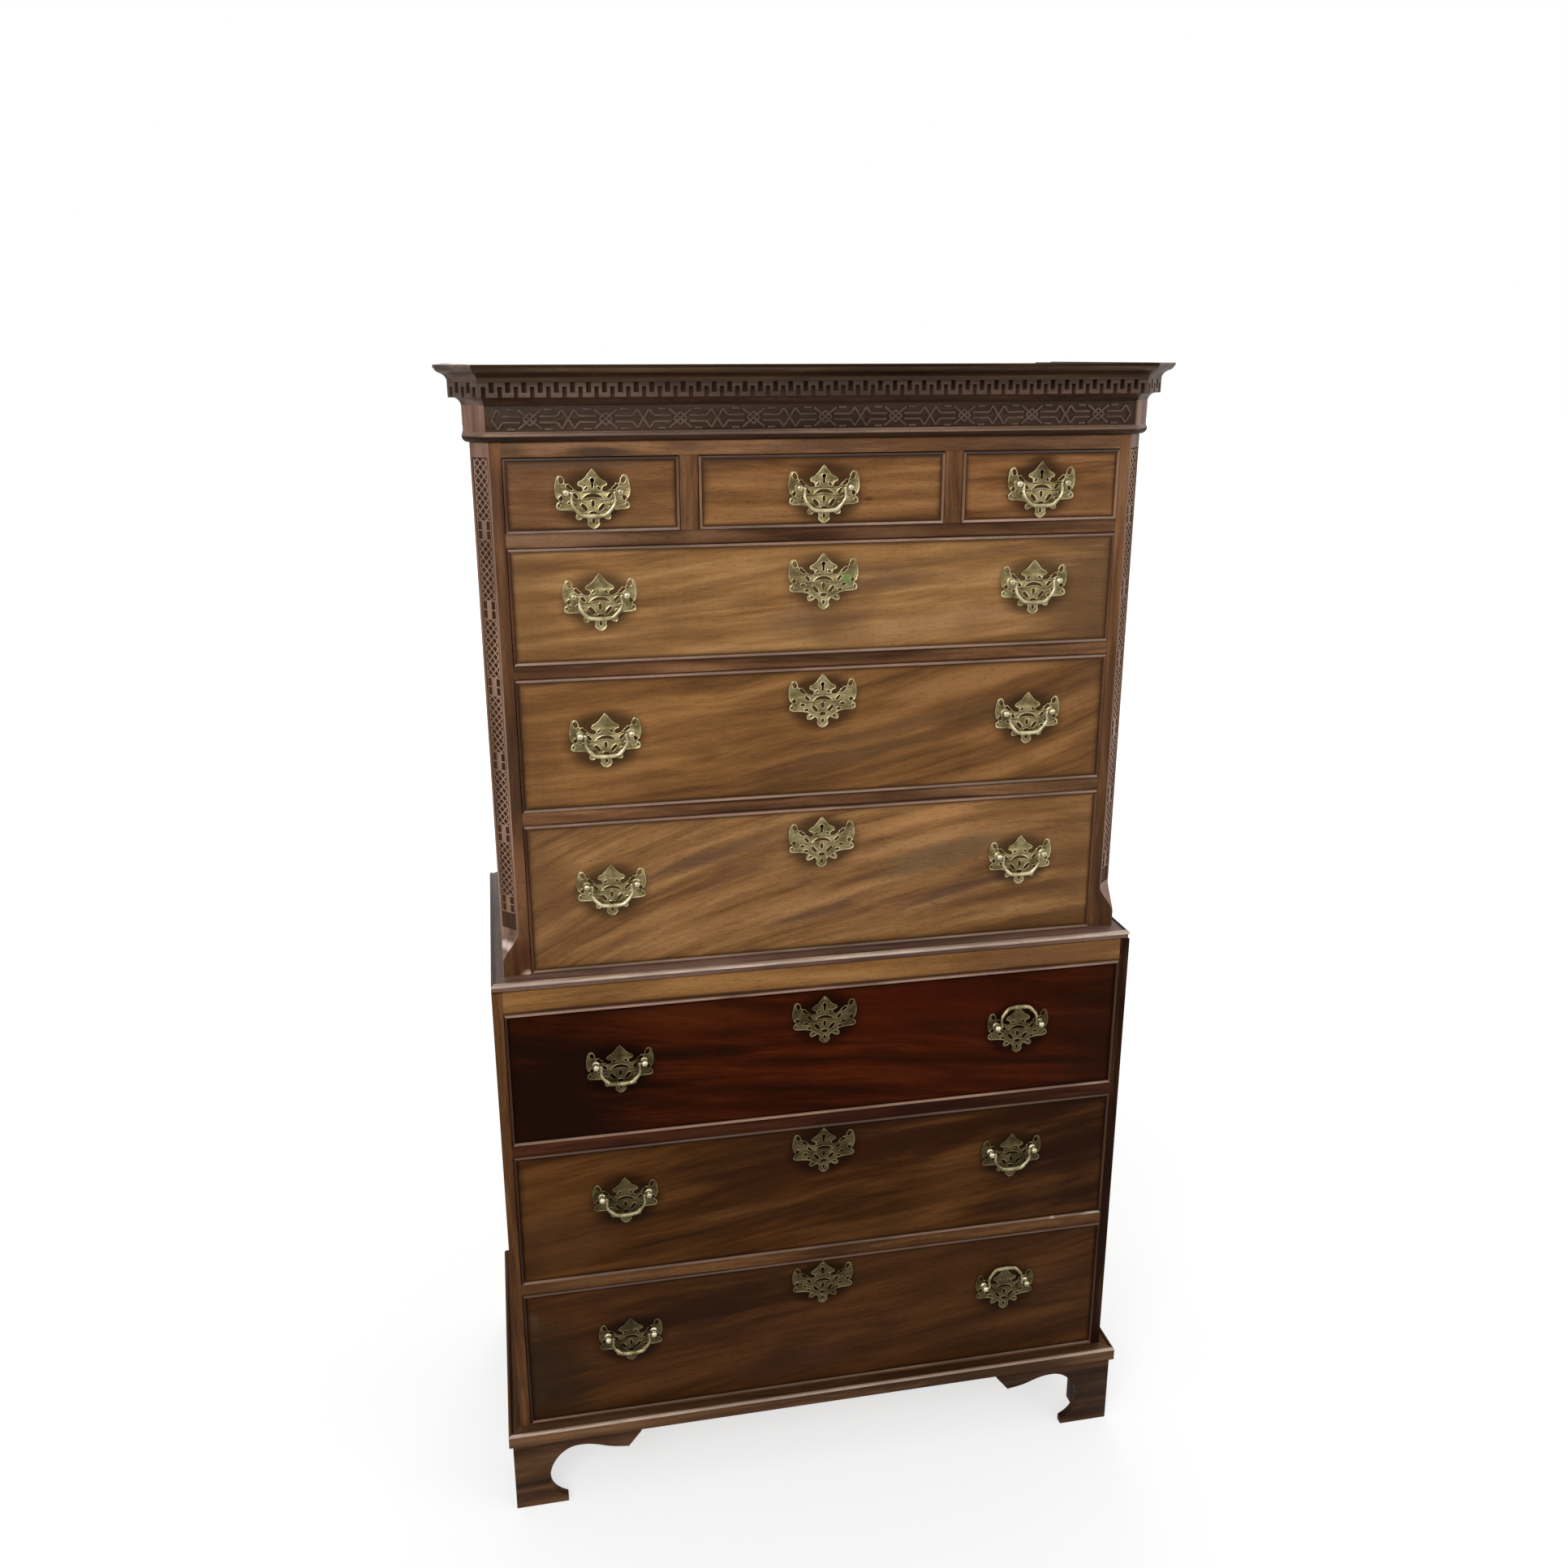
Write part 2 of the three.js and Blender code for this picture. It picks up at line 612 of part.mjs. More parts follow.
// Frieze with the astragal at its foot; its front is sunk for the fret
function frieze() {
  const section = ({ kind }) => {
    const face = kind === 'front' ? friezeGround : friezeCorner;
    return sectionFrom(friezeZ, (path) => {
      path.lineTo(friezeGround / 2, friezeZ);
      path.quadraticCurveTo(friezeGround / 2, friezeZ + astragalHeight / 3,
        friezeCorner, friezeZ + astragalHeight / 3);
      path.quadraticCurveTo(astragalProud, friezeZ + astragalHeight / 3,
        astragalProud, friezeZ + astragalHeight * 2 / 3);
      path.quadraticCurveTo(astragalProud, friezeZ + astragalHeight, face, friezeZ + astragalHeight);
      path.lineTo(face, friezeZ + friezeHeight);
    }, friezeZ + friezeHeight);
  };
  const line = onCant(block(-friezeLine / 2, friezeLine / 2, -friezeCorner - overrun,
    friezeLine / 2 - friezeCorner, friezeZ + astragalHeight, friezeZ + friezeHeight + overrun));
  return wrapMoulding(cantedFaces, section, friezeZ, friezeZ + friezeHeight)
    .subtract(line).subtract(mirroredX(line));
}

// The frieze's fret: crossings linked by long hexagons, each with a bar through its middle
function friezeFret() {
  const halfLength = upperHalf - cant - fretMargin;
  const bottomZ = friezeZ + astragalHeight + seatGap;
  const openings = [];
  const low = bottomZ + fretBar;
  const high = bottomZ + fretHeight - fretBar;
  const middle = (low + high) / 2;
  const pitch = (2 * halfLength - 2 * fretBar) / (2 * fretRepeats);
  const arm = (high - low) / 2;
  for (const [edge, side] of [[low, -1], [high, 1]]) {
    const inner = middle + side * fretBar / 2;
    for (let i = 0; i < 2 * fretRepeats; i += 1) {
      const x = -halfLength + fretBar + (i + 1 / 2) * pitch;
      openings.push([[x - arm, edge], [x + arm, edge], [x, inner + side * fretBar / 2]]);
      const far = i + 1 < 2 * fretRepeats ? x + pitch - arm - fretBar : x + pitch / 2;
      const farInner = i + 1 < 2 * fretRepeats ? x + pitch - 2 * fretBar : x + pitch / 2;
      openings.push([[x + arm + fretBar, edge], [far, edge], [farInner, inner], [x + 2 * fretBar, inner]]);
    }
    const start = -halfLength + fretBar;
    openings.push([[start, edge], [start + pitch / 2 - arm - fretBar, edge],
      [start + pitch / 2 - 2 * fretBar, inner], [start, inner]]);
  }
  const strip = rectangle(-halfLength, halfLength, bottomZ, bottomZ + fretHeight);
  return sawnPanel(strip, openings, fretThick, upperFrontY - friezeGround - seatGap);
}

// Cornice: bed mould, dentil band, cove and top fillet
function cornice() {
  const bandZ = corniceZ + bedHeight;
  const filletZ = bandZ + dentilHeight + dentilFillet;
  const section = () => sectionFrom(corniceZ, (path) => {
    path.lineTo(friezeCorner, corniceZ);
    path.quadraticCurveTo(dentilProud - dentilDepth, corniceZ, dentilProud - dentilDepth, bandZ);
    path.lineTo(dentilProud, bandZ);
    path.lineTo(dentilProud, filletZ);
    path.quadraticCurveTo(dentilProud, topZ - coronaHeight, coronaProud, topZ - coronaHeight);
    path.lineTo(coronaProud, topZ);
  }, topZ);
  const whole = wrapMoulding(cantedFaces, section, corniceZ, topZ);
  return whole.subtract(joined(dentilCuts(bandZ)));
}

// Gaps between the dentils along every face of the cornice
function dentilCuts(bandZ) {
  const mitre = Math.tan(Math.PI / 8);
  const runs = cantedFaces.map((face) => {
    if (face.kind === 'front') return { face, from: -upperHalf + cant, to: upperHalf - cant, ends: 2 };
    if (face.kind === 'cant') return { face, from: -cantWidth / 2, to: cantWidth / 2, ends: 2 };
    return { face, from: upperFrontY + cant, to: backY, ends: 1 };
  });
  return runs.flatMap(({ face, from, to, ends }) => {
    const corner = dentilProud * mitre;
    const length = to - from + ends * corner;
    const count = Math.floor((length - dentilGap) / dentilPitch);
    const middle = ends === 2 ? (from + to) / 2 : (from - corner + to) / 2;
    const cuts = [];
    for (let i = 0; i <= count; i += 1) {
      const x = middle + (i - count / 2) * dentilPitch;
      cuts.push(dentilCut(face, x, bandZ));
    }
    return cuts;
  });
}

// One gap in the dentil band of a face, centred at a distance along it
function dentilCut(face, x, bandZ) {
  const height = dentilGapHeight + overrun;
  const cut = new THREE.BoxGeometry(dentilDepth + overrun, dentilGap, height);
  const middle = face.reach + dentilProud + (overrun - dentilDepth) / 2;
  cut.translate(middle, 0, bandZ + dentilGapHeight - height / 2);
  cut.rotateZ(face.turn);
  const along = new THREE.Vector3(0, 1, 0);
  if (face.kind !== 'side') {
    along.set(1, 0, 0);
    if (face.kind === 'cant') along.set(1, face.turn > -Math.PI / 2 ? 1 : -1, 0).normalize();
  }
  const centre = new THREE.Vector3(Math.cos(face.turn), Math.sin(face.turn), 0);
  const start = face.kind === 'cant'
    ? cantMiddle(face).sub(centre.multiplyScalar(face.reach))
    : new THREE.Vector3();
  const shift = start.addScaledVector(along, x);
  cut.translate(shift.x, shift.y, 0);
  return solidOf(cut);
}

const cantMiddle = (face) => new THREE.Vector3(
  Math.sign(Math.cos(face.turn)) * (upperHalf - cant / 2), upperFrontY + cant / 2, 0);

// A bracket foot's outline from its corner inwards: a pad, a hollow that turns back over it,
// and a wing that hangs in a lobe before it meets the moulding
function bracketShape() {
  const outline = new THREE.Shape();
  outline.moveTo(0, 0);
  for (const shares of bracketShares) {
    const points = shares.map((share, i) => share * (i % 2 ? footHeight : footLength));
    if (points.length > 2) outline.quadraticCurveTo(...points);
    else outline.lineTo(...points);
  }
  outline.lineTo(0, footHeight);
  return outline;
}

// One front foot: two brackets mitred at the corner, with a block glued behind them
function frontFoot() {
  const cornerX = lowerHalf + footFace;
  const cornerY = lowerFrontY - footFace;
  const along = frontPanel(bracketShape(), footThick).translate([0, footThick, 0]);
  const front = along.translate([-cornerX, cornerY, 0]);
  const side = along.mirror([0, 1, 0]).rotate([0, 0, 90]).translate([-cornerX, cornerY, 0]);
  return joined([front, side, glueBlock(-cornerX, cornerY, 1)]);
}

function glueBlock(cornerX, cornerY, inwards) {
  const near = cornerY + inwards * (footThick - housing);
  const far = near + inwards * footBlock;
  return block(cornerX + footThick - housing, cornerX + footThick + footBlock,
    Math.min(near, far), Math.max(near, far), footBlockLift, footHeight);
}

// One rear foot: the shaped bracket along the side and a plain one across the back
function rearFoot() {
  const cornerX = lowerHalf + footFace;
  const along = frontPanel(bracketShape(), footThick).translate([0, footThick, 0]);
  const side = along.rotate([0, 0, -90]).translate([-cornerX, backY, 0]);
  const plain = shapeOf([[0, 0], [footBlock, 0], [rearFootLength, footHeight], [0, footHeight]]);
  const back = frontPanel(plain, footThick, backY).translate([-cornerX + housing, 0, 0]);
  return joined([side, back, glueBlock(-cornerX, backY, -1)]);
}

// The chest
const chest = new THREE.Group();
const fixed = (name, solid, material) => chest.add(pieceOf(name, solid, material));

fixed('lower_carcass', lowerCarcass(), carcassWood);
fixed('lower_back', backPanel(lowerOpening, caseBottomZ, lowerTopZ), backWood);
fixed('base_moulding', baseMoulding(), mouldingWood);
fixed('waist_moulding', waistMoulding(), mouldingWood);
const feet = { front: frontFoot(), rear: rearFoot() };
for (const [end, foot] of Object.entries(feet)) {
  fixed(`foot_${end}_left`, foot, mouldingWood);
  fixed(`foot_${end}_right`, mirroredX(foot), mouldingWood);
}
fixed('upper_carcass', upperCarcass(), carcassWood);
fixed('upper_back', backPanel(upperHalf - upperSide, upperBaseZ, upperTopZ), backWood);
fixed('frieze', frieze(), mouldingWood);
fixed('frieze_fret', friezeFret(), fretWood);
fixed('corner_fret_left', cornerFret(), fretWood);
fixed('corner_fret_right', mirroredX(cornerFret()), fretWood);
fixed('cornice', cornice(), mouldingWood);

// A handle on a drawer: its plate and its bail, which hangs, or leans back on the plate above
const leanBack = Math.asin((postReach - bailBarRadius - seatGap) / bailDrop);

function addHandle(drawerGroup, label, x, crestZ, keyhole, turnedUp) {
  const plate = pieceOf(`plate_${label}`, handlePlate(keyhole), brass);
  plate.position.set(x, 0, crestZ);
  const swing = pieceOf(`bail_${label}`, bail(), brass);
  swing.position.set(x, pivotY, crestZ - pivotDrop);
  if (turnedUp) swing.rotation.x = -(Math.PI + leanBack);
  drawerGroup.add(plate, swing);
}

function addDrawer(label, place, opening, height, length, keyholeZ) {
  const group = new THREE.Group();
  group.position.set(place.x, place.y, place.z + seatGap);
  const width = opening - 2 * drawerGap;
  const solid = drawer(width, height - drawerGap - seatGap, length, keyholeZ);
  group.add(pieceOf(`drawer_${label}`, solid, drawerWood));
  chest.add(group);
  return group;
}

// Long drawers, each with two handles and an escutcheon between them
const turnedUpBails = ['lower_bottom_right', 'lower_top_right'];

function longDrawers(part, rows, floors, opening, frontY) {
  const length = backFrontY - drawerBackRoom - frontY;
  ['bottom', 'middle', 'top'].forEach((level, i) => {
    const label = `${part}_${level}`;
    const place = { x: 0, y: frontY, z: floors[i] };
    const beadZ = rows[i] - drawerGap - seatGap - beadWidth;
    const crestZ = beadZ - escutcheonDrops[part][i];
    const group = addDrawer(label, place, 2 * opening, rows[i], length, crestZ - keyDrop);
    const key = pieceOf(`escutcheon_${label}`, backplate(true), brass);
    key.position.set(0, 0, crestZ);
    group.add(key);
    for (const [side, name] of [[-1, 'left'], [1, 'right']]) {
      const handle = `${label}_${name}`;
      addHandle(group, handle, side * handleX, beadZ - handleDrops[part][i], false,
        turnedUpBails.includes(handle));
    }
  });
}

longDrawers('lower', lowerRows, lowerFloors, lowerOpening, lowerFrontY);
longDrawers('upper', upperRows, upperFloors, upperOpening, upperFrontY);

// Short drawers, each with one handle whose plate has the keyhole
for (const { name, x, opening } of shortDrawers()) {
  const label = `short_${name}`;
  const place = { x, y: upperFrontY, z: upperFloors.at(-2) };
  const height = upperRows.at(-1);
  const crestZ = beadWidth + 2 * seatGap + plateHeight;
  const length = backFrontY - drawerBackRoom - upperFrontY;
  const group = addDrawer(label, place, opening, height, length, crestZ - keyDrop);
  addHandle(group, label, 0, crestZ, true, false);
}

export default chest;
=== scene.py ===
# %% [markdown]
# # A chest on chest, dressed in Blender
# Two cases of drawers stand one on the other, in mahogany with brass handles. Their solids come
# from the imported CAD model, so every size and place is settled. This lesson gives them softened
# edges, polished wood with figure and dirt, cast brass and the small parts behind it.

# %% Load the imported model
import math

import bmesh
import bpy
from mathutils import Matrix, Vector


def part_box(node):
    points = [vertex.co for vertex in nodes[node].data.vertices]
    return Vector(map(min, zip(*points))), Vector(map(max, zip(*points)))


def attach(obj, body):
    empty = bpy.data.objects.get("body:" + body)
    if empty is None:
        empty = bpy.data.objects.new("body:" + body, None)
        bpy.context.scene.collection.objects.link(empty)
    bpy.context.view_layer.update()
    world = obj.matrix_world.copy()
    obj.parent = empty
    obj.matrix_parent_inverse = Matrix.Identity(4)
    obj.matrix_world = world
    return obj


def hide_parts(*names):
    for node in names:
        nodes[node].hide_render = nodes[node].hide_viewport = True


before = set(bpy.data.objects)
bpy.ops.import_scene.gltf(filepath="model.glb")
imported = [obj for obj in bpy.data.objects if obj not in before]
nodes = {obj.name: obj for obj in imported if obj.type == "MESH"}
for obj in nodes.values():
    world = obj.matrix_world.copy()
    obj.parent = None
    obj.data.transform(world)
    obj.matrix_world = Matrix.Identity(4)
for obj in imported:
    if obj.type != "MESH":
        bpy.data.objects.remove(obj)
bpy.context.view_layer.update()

mm = 0.001

# %% [markdown]
# ## The camera
# The photograph was taken at head height from the left of the chest, looking down and to the
# right. Fitting the known corners of the chest to the picture gave this place and this lens.

# %% Camera
camera_place = Vector((-0.4712, -2.2254, 1.8808))
turned_right, tilted_down, rolled = (math.radians(angle) for angle in (11.54, 17.03, -0.1))


def linked(name, data):
    """A new object in the scene."""
    made = bpy.data.objects.new(name, data)
    bpy.context.scene.collection.objects.link(made)
    return made


def moved(*place):
    return Matrix.Translation(place)


def turned_about(axis, angle):
    return Matrix.Rotation(angle, 4, axis)


camera = linked("camera", bpy.data.cameras.new("camera"))
camera.data.sensor_width = 36
camera.data.lens = 32.07
camera.matrix_world = moved(*camera_place) @ turned_about("Z", -turned_right) \
    @ turned_about("X", math.pi / 2 - tilted_down) @ turned_about("Z", rolled)
bpy.context.scene.camera = camera
print("camera at", [round(value, 3) for value in camera_place])

# %% [markdown]
# ## Writing materials as sums
# A graph of nodes is tedious to read as a list of links. Wrapping a socket in a small class
# with Python's operators lets the maths read like maths. Everything that isn't plain arithmetic
# comes from one method that makes any node.

# %% Sockets with operators, and a material under construction
class Value:
    """A socket of a node tree, on which Python's operators add Math nodes."""

    def __init__(self, graph, socket):
        self.graph = graph
        self.socket = socket

    def maths(self, operation, *others):
        inputs = dict(enumerate((self, *others)))
        return self.graph.node("Math", {"operation": operation}, inputs)

    def __add__(self, other):
        return self.maths("ADD", other)

    def __mul__(self, other):
        return self.maths("MULTIPLY", other)

    def __sub__(self, other):
        return self.maths("SUBTRACT", other)

    def __rsub__(self, other):
        return self * -1 + other

    __radd__ = __add__
    __rmul__ = __mul__


class Graph:
    """A node tree under construction, of a material or of the world."""

    def __init__(self, tree):
        self.tree = tree

    def node(self, kind, settings=None, inputs=None, output=0):
        made = self.tree.nodes.new("ShaderNode" + kind)
        for setting, value in (settings or {}).items():
            if setting == "stops":
                self.set_stops(made.color_ramp, value)
            else:
                setattr(made, setting, value)
        for socket, value in (inputs or {}).items():
            self.feed(made.inputs[socket], value)
        return Value(self, made.outputs[output])

    def set_stops(self, ramp, stops):
        while len(ramp.elements) < len(stops):
            ramp.elements.new(0.5)
        for element, (place, colour) in zip(ramp.elements, stops):
            element.position = place
            element.color = (*colour, 1)

    def feed(self, socket, value):
        if isinstance(value, Value):
            self.tree.links.new(value.socket, socket)
        elif socket.type == "RGBA":
            socket.default_value = (*value, 1)
        else:
            socket.default_value = value

    def rays(self, kind):
        """1 where light arrives by this kind of ray, such as Is Camera Ray."""
        return self.node("LightPath", output=kind)


class Finish(Graph):
    """A material with its Principled shader, and the nodes that feed it."""

    def __init__(self, name, constants):
        self.material = bpy.data.materials.new(name)
        self.material.use_nodes = True
        super().__init__(self.material.node_tree)
        self.shader = self.tree.nodes["Principled BSDF"]
        for socket, value in constants.items():
            self.shader.inputs[socket].default_value = value

    def shade(self, **inputs):
        for socket, value in inputs.items():
            self.feed(self.shader.inputs[socket.replace("_", " ")], value)
        return self.material

    def object_place(self):
        return self.node("TexCoord", output="Object")

    def axes(self, vector):
        return [self.node("SeparateXYZ", inputs={0: vector}, output=axis) for axis in "XYZ"]

    def turned(self, vector, rotation=(0, 0, 0), scale=(1, 1, 1), shift=(0, 0, 0)):
        return self.node("Mapping", {}, {
            "Vector": vector, "Rotation": rotation, "Scale": scale, "Location": shift})

    def noise(self, vector, stretch, shift=(0, 0, 0), detail=3.0, roughness=0.5, distortion=0.0):
        """Noise with this many waves to a metre along each axis."""
        return self.node("TexNoise", {}, {
            "Vector": self.turned(vector, scale=stretch, shift=shift), "Scale": 1.0,
            "Detail": detail, "Roughness": roughness, "Distortion": distortion})

    def rise(self, value, low, high):
        """0 below low, 1 above high and smooth between them."""
        return self.node("MapRange", {"interpolation_type": "SMOOTHSTEP"}, {
            "Value": value, "From Min": low, "From Max": high})

    def mixed(self, share, first, second, blend="MIX"):
        return self.node("Mix", {"data_type": "RGBA", "blend_type": blend},
                         {0: share, 6: first, 7: second}, output=2)

    def bump(self, height, strength, distance):
        return self.node("Bump", {}, {
            "Height": height, "Strength": strength, "Distance": distance})


def paint(red, green, blue):
    """A colour as it looks on a screen, from 0 to 255, as the linear light that a shader wants."""
    return tuple((part / 255 / 12.92) if part < 11 else ((part / 255 + 0.055) / 1.055) ** 2.4
                 for part in (red, green, blue))


print("helpers ready")

# %% [markdown]
# ## Old polished mahogany
# Mahogany is long streaks of colour along the grain, a broad figure across them, fine fibres
# and short dark pores. All four can be one noise, stretched more or less along the grain. Age
# adds soft patches, grime where a duster doesn't reach and a duller polish in places. Some
# patches are painted highlights and shadows instead, and a thin line just inside a drawer's
# bead is painted shade. A board's colours, tilt and patches are arguments, so that no two
# drawers are alike.

# %% The wood recipe
along_x = (0, 0, 0)
along_y = (0, 0, math.pi / 2)
along_z = (0, math.pi / 2, 0)


def darker(colour, share):
    return tuple(part * share for part in colour)


def shades(tones):
    """Dark, middle and light, made from the middle one where only that is given."""
    if isinstance(tones[0], tuple):
        return [paint(*tone) for tone in tones]
    middle = paint(*tones)
    return darker(middle, 0.55), middle, darker(middle, 1.5)


def straightened(finish, place, grain, seed):
    """The place turned so that the grain runs along X, and the same bent a little."""
    straight = finish.turned(place, rotation=grain, shift=(seed * 1.7, seed * 0.9, seed * 2.3))
    drift = finish.noise(straight, (2.2, 7, 7), detail=2)
    bent = finish.node("VectorMath", {"operation": "MULTIPLY_ADD"}, {
        0: finish.node("CombineXYZ", {}, {"Y": drift, "Z": drift}),
        1: (0, 0.05, 0.05), 2: straight})
    return straight, bent


def reach(x, z, x_middle, z_middle, half_width, half_height, lean=0.0):
    """0 in the middle of an ellipse given in millimetres and 1 on its edge."""
    right, up = x - x_middle * mm, z - z_middle * mm
    across = (right * math.cos(lean) + up * math.sin(lean)) * (1 / (half_width * mm))
    over = (up * math.cos(lean) - right * math.sin(lean)) * (1 / (half_height * mm))
    return (across * across + over * over).maths("SQRT")


def wood(name, colours, grain=along_x, tilt=0.0, bow=0.0, figure=0.5, figured_with=None, seed=0.0,
         gloss=0.4, dirt=0.35, grime=0.0, edges=None, patches=(), dark_halo_middles=(), gleam=0.08):
    """A polished board of dark, middle and light colours. tilt leans the streaks and bow bends
    them; edges is the box, as (x, x, z, z), towards whose rim the board is painted darker,
    with a thin line of painted shade just inside it where a bead stands proud; each patch is an
    uneven cloud of another colour, as (x, z, half its width, half its height, colour, share),
    some of them painted highlights and shadows; and the last argument lists the middles of the
    plates round which the board is painted darker."""
    dark, middle, light = shades(colours)
    finish = Finish(name, {"Specular IOR Level": gleam})
    place = finish.object_place()
    x, y, z = finish.axes(place)
    curved = finish.node("CombineXYZ", {}, {"X": x, "Y": y, "Z": z + x * x * bow})
    straight, bent = straightened(finish, curved, grain, seed)
    leaned = finish.turned(bent, rotation=(0, tilt, 0), shift=(0, 0, seed * 5))
    streaks = finish.noise(leaned, (2.2, 36, 36), detail=7, roughness=0.64)
    figured = finish.noise(leaned, (4.2, 24, 24), detail=5, roughness=0.6, distortion=0.5)
    fibres = finish.noise(straight, (26, 620, 620), detail=3, roughness=0.7)
    pores = finish.rise(finish.noise(straight, (95, 1150, 1150), detail=1), 0.6, 0.7)
    blotches = finish.noise(place, (5, 5, 5), shift=(seed, seed, seed))

    board = finish.node("ValToRGB", {"stops": [(0.35, dark), (0.5, middle), (0.65, light)]},
                        {0: streaks})
    for x_middle, z_middle, half_width, half_height, colour, share in patches:
        away = reach(x, z, x_middle, z_middle, half_width, half_height, lean=tilt)
        away = away + (figured - 0.5) * 2.4 + (streaks - 0.5) * 1.4
        board = finish.mixed((1 - finish.rise(away, 0.25, 1.4)) * share, board, paint(*colour))
    veiled = finish.rise(figured, 0.5, 0.68) * finish.rise(blotches, 0.36, 0.6)
    veil = paint(*figured_with) if figured_with else dark
    board = finish.mixed(veiled * figure, board, veil)
    board = finish.mixed(finish.rise(blotches, 0.52, 0.72) * dirt, board, darker(dark, 0.6))
    if grime:
        smears = finish.noise(bent, (6, 52, 52), shift=(seed, 0, 0), detail=4)
        board = finish.mixed(finish.rise(smears, 0.5, 0.64) * grime, board, darker(dark, 0.42))
    tone = fibres * 0.6 + 0.7
    board = finish.mixed(1.0, board, finish.node("CombineColor", {}, {0: tone, 1: tone, 2: tone}),
                         blend="MULTIPLY")
    board = finish.mixed(pores * 0.45, board, darker(dark, 0.35))
    if edges is not None:
        x_low, x_high, z_low, z_high = (edge * mm for edge in edges)
        inner = (x - x_low).maths("MINIMUM", x_high - x)
        inner = inner.maths("MINIMUM", (z - z_low).maths("MINIMUM", z_high - z))
        # Towards the rim of the box the board is painted darker, and a thin line of painted shade
        # runs just inside the bead, as the shadow of the proud bead.
        rim = 1 - finish.rise(inner + (blotches - 0.5) * 0.03, 0.0, 0.016)
        board = finish.mixed(rim * 0.55, board, darker(dark, 0.45))
        line = 1 - finish.rise(inner + (streaks - 0.5) * 0.004, 0.0055, 0.0095)
        board = finish.mixed(line * 0.72, board, darker(dark, 0.42))
    # Round the middle of each plate the board is painted darker, in a soft halo.
    for x_middle, z_middle in dark_halo_middles:
        away = reach(x, z, x_middle, z_middle, 56, 45) + (blotches - 0.5) * 0.5
        board = finish.mixed((1 - finish.rise(away, 0.72, 1.2)) * 0.8, board, darker(dark, 0.3))
    return finish.shade(
        Base_Color=board,
        Roughness=blotches * 0.22 + fibres * 0.1 + (gloss - 0.16),
        Normal=finish.bump(fibres * 0.4 - pores, 0.25, 0.0004))


def dry_wood(name, dark, light, grain=along_x, seed=0.0):
    """Unpolished secondary wood, such as pine or oak, greyed and dusty."""
    dark, light = paint(*dark), paint(*light)
    finish = Finish(name, {"Specular IOR Level": 0.1})
    place = finish.object_place()
    straight, bent = straightened(finish, place, grain, seed)
    rings = finish.noise(bent, (1.5, 48, 48), detail=5, roughness=0.6)
    fibres = finish.noise(straight, (30, 700, 700), detail=2)
    dust = finish.noise(place, (9, 9, 9), detail=4)
    board = finish.node("ValToRGB", {"stops": [(0.3, dark), (0.7, light)]}, {0: rings})
    board = finish.mixed(finish.rise(dust, 0.45, 0.75) * 0.4, board, darker(dark, 0.5))
    return finish.shade(Base_Color=board, Roughness=dust * 0.2 + 0.65,
                        Normal=finish.bump(fibres + rings, 0.3, 0.0006))


print("wood recipes ready")

# %% [markdown]
# ## The chest's own woods
# The case is a plain mahogany that has faded to a pinkish brown on the corners and gone golden
# on the top rail of the lower case. The grain of an upright crosses that of a rail, which makes
# their joint readable, so each has its own material.

# %% Case woods
case_colours = ((66, 40, 22), (106, 70, 42), (138, 97, 64))
low_colours = ((54, 31, 14), (90, 58, 32), (118, 82, 50))
faded_colours = ((90, 61, 45), (130, 95, 75), (162, 125, 103))
soot = (34, 18, 9)

# upright_wood: its last patch is a line of painted shade on the left stile, along the gap beside
# the top left drawer.
upright_wood = wood("upright_wood", case_colours, grain=along_z, grime=0.3, seed=1.3, patches=[
    (-466, 1300, 30, 100, (60, 42, 28), 0.7), (-475, 1500, 40, 150, (80, 52, 33), 0.6),
    (-466, 1690, 30, 60, (92, 61, 42), 0.7), (-472, 1105, 26, 84, (122, 84, 55), 0.8),
    (-464, 1000, 22, 26, (80, 42, 24), 0.9), (475, 1080, 60, 130, (64, 39, 23), 0.8),
    (475, 1330, 60, 120, (80, 52, 34), 0.6), (475, 1700, 60, 60, (130, 95, 66), 0.6),
    (-463, 967, 10, 9, (226, 192, 166), 0.95), (-459.5, 1690, 3, 70, (64, 40, 25), 0.8)])
low_upright_wood = wood("low_upright_wood", low_colours, grain=along_z, grime=0.25, seed=1.9,
                        gleam=0.03, patches=[(512, 480, 120, 900, (34, 16, 7), 1.0)])
# Lines of painted shadow run along the top and bottom edges of the upper case's rails, where they
# meet the drawers.
rail_edge_shadows = [(0, z, 700, 2.6, (44, 24, 12), 0.75) for z in (1211, 1229, 1433, 1452, 1622, 1641)]
rail_wood = wood("rail_wood", ((74, 46, 27), (114, 77, 49), (148, 107, 72)), grime=0.3,
                 seed=2.1, patches=rail_edge_shadows + [
    (-400, 1632, 90, 14, (142, 106, 78), 0.7), (-10, 1628, 70, 7, soot, 0.7),
    (330, 1636, 120, 9, soot, 0.35), (60, 1443, 150, 8, soot, 0.35),
    (-430, 1443, 40, 12, soot, 0.4), (380, 1219, 120, 12, (78, 48, 28), 0.7),
    (100, 1219, 60, 8, soot, 0.4), (-445, 1757, 22, 9, (88, 67, 51), 0.8),
    (-396, 1757, 26, 8, (142, 103, 76), 0.85), (-318, 1755, 56, 9, (74, 54, 42), 0.95),
    (-40, 1758, 120, 8, (88, 66, 52), 0.6), (-200, 1757, 70, 9, (104, 75, 56), 0.7),
    (330, 1757, 140, 9, (102, 73, 55), 0.6), (-200, 1632, 90, 9, (120, 86, 58), 0.85),
    (100, 1632, 80, 8, (110, 78, 54), 0.6)])
low_rail_wood = wood("low_rail_wood", low_colours, grime=0.4, seed=2.6, gleam=0.05)
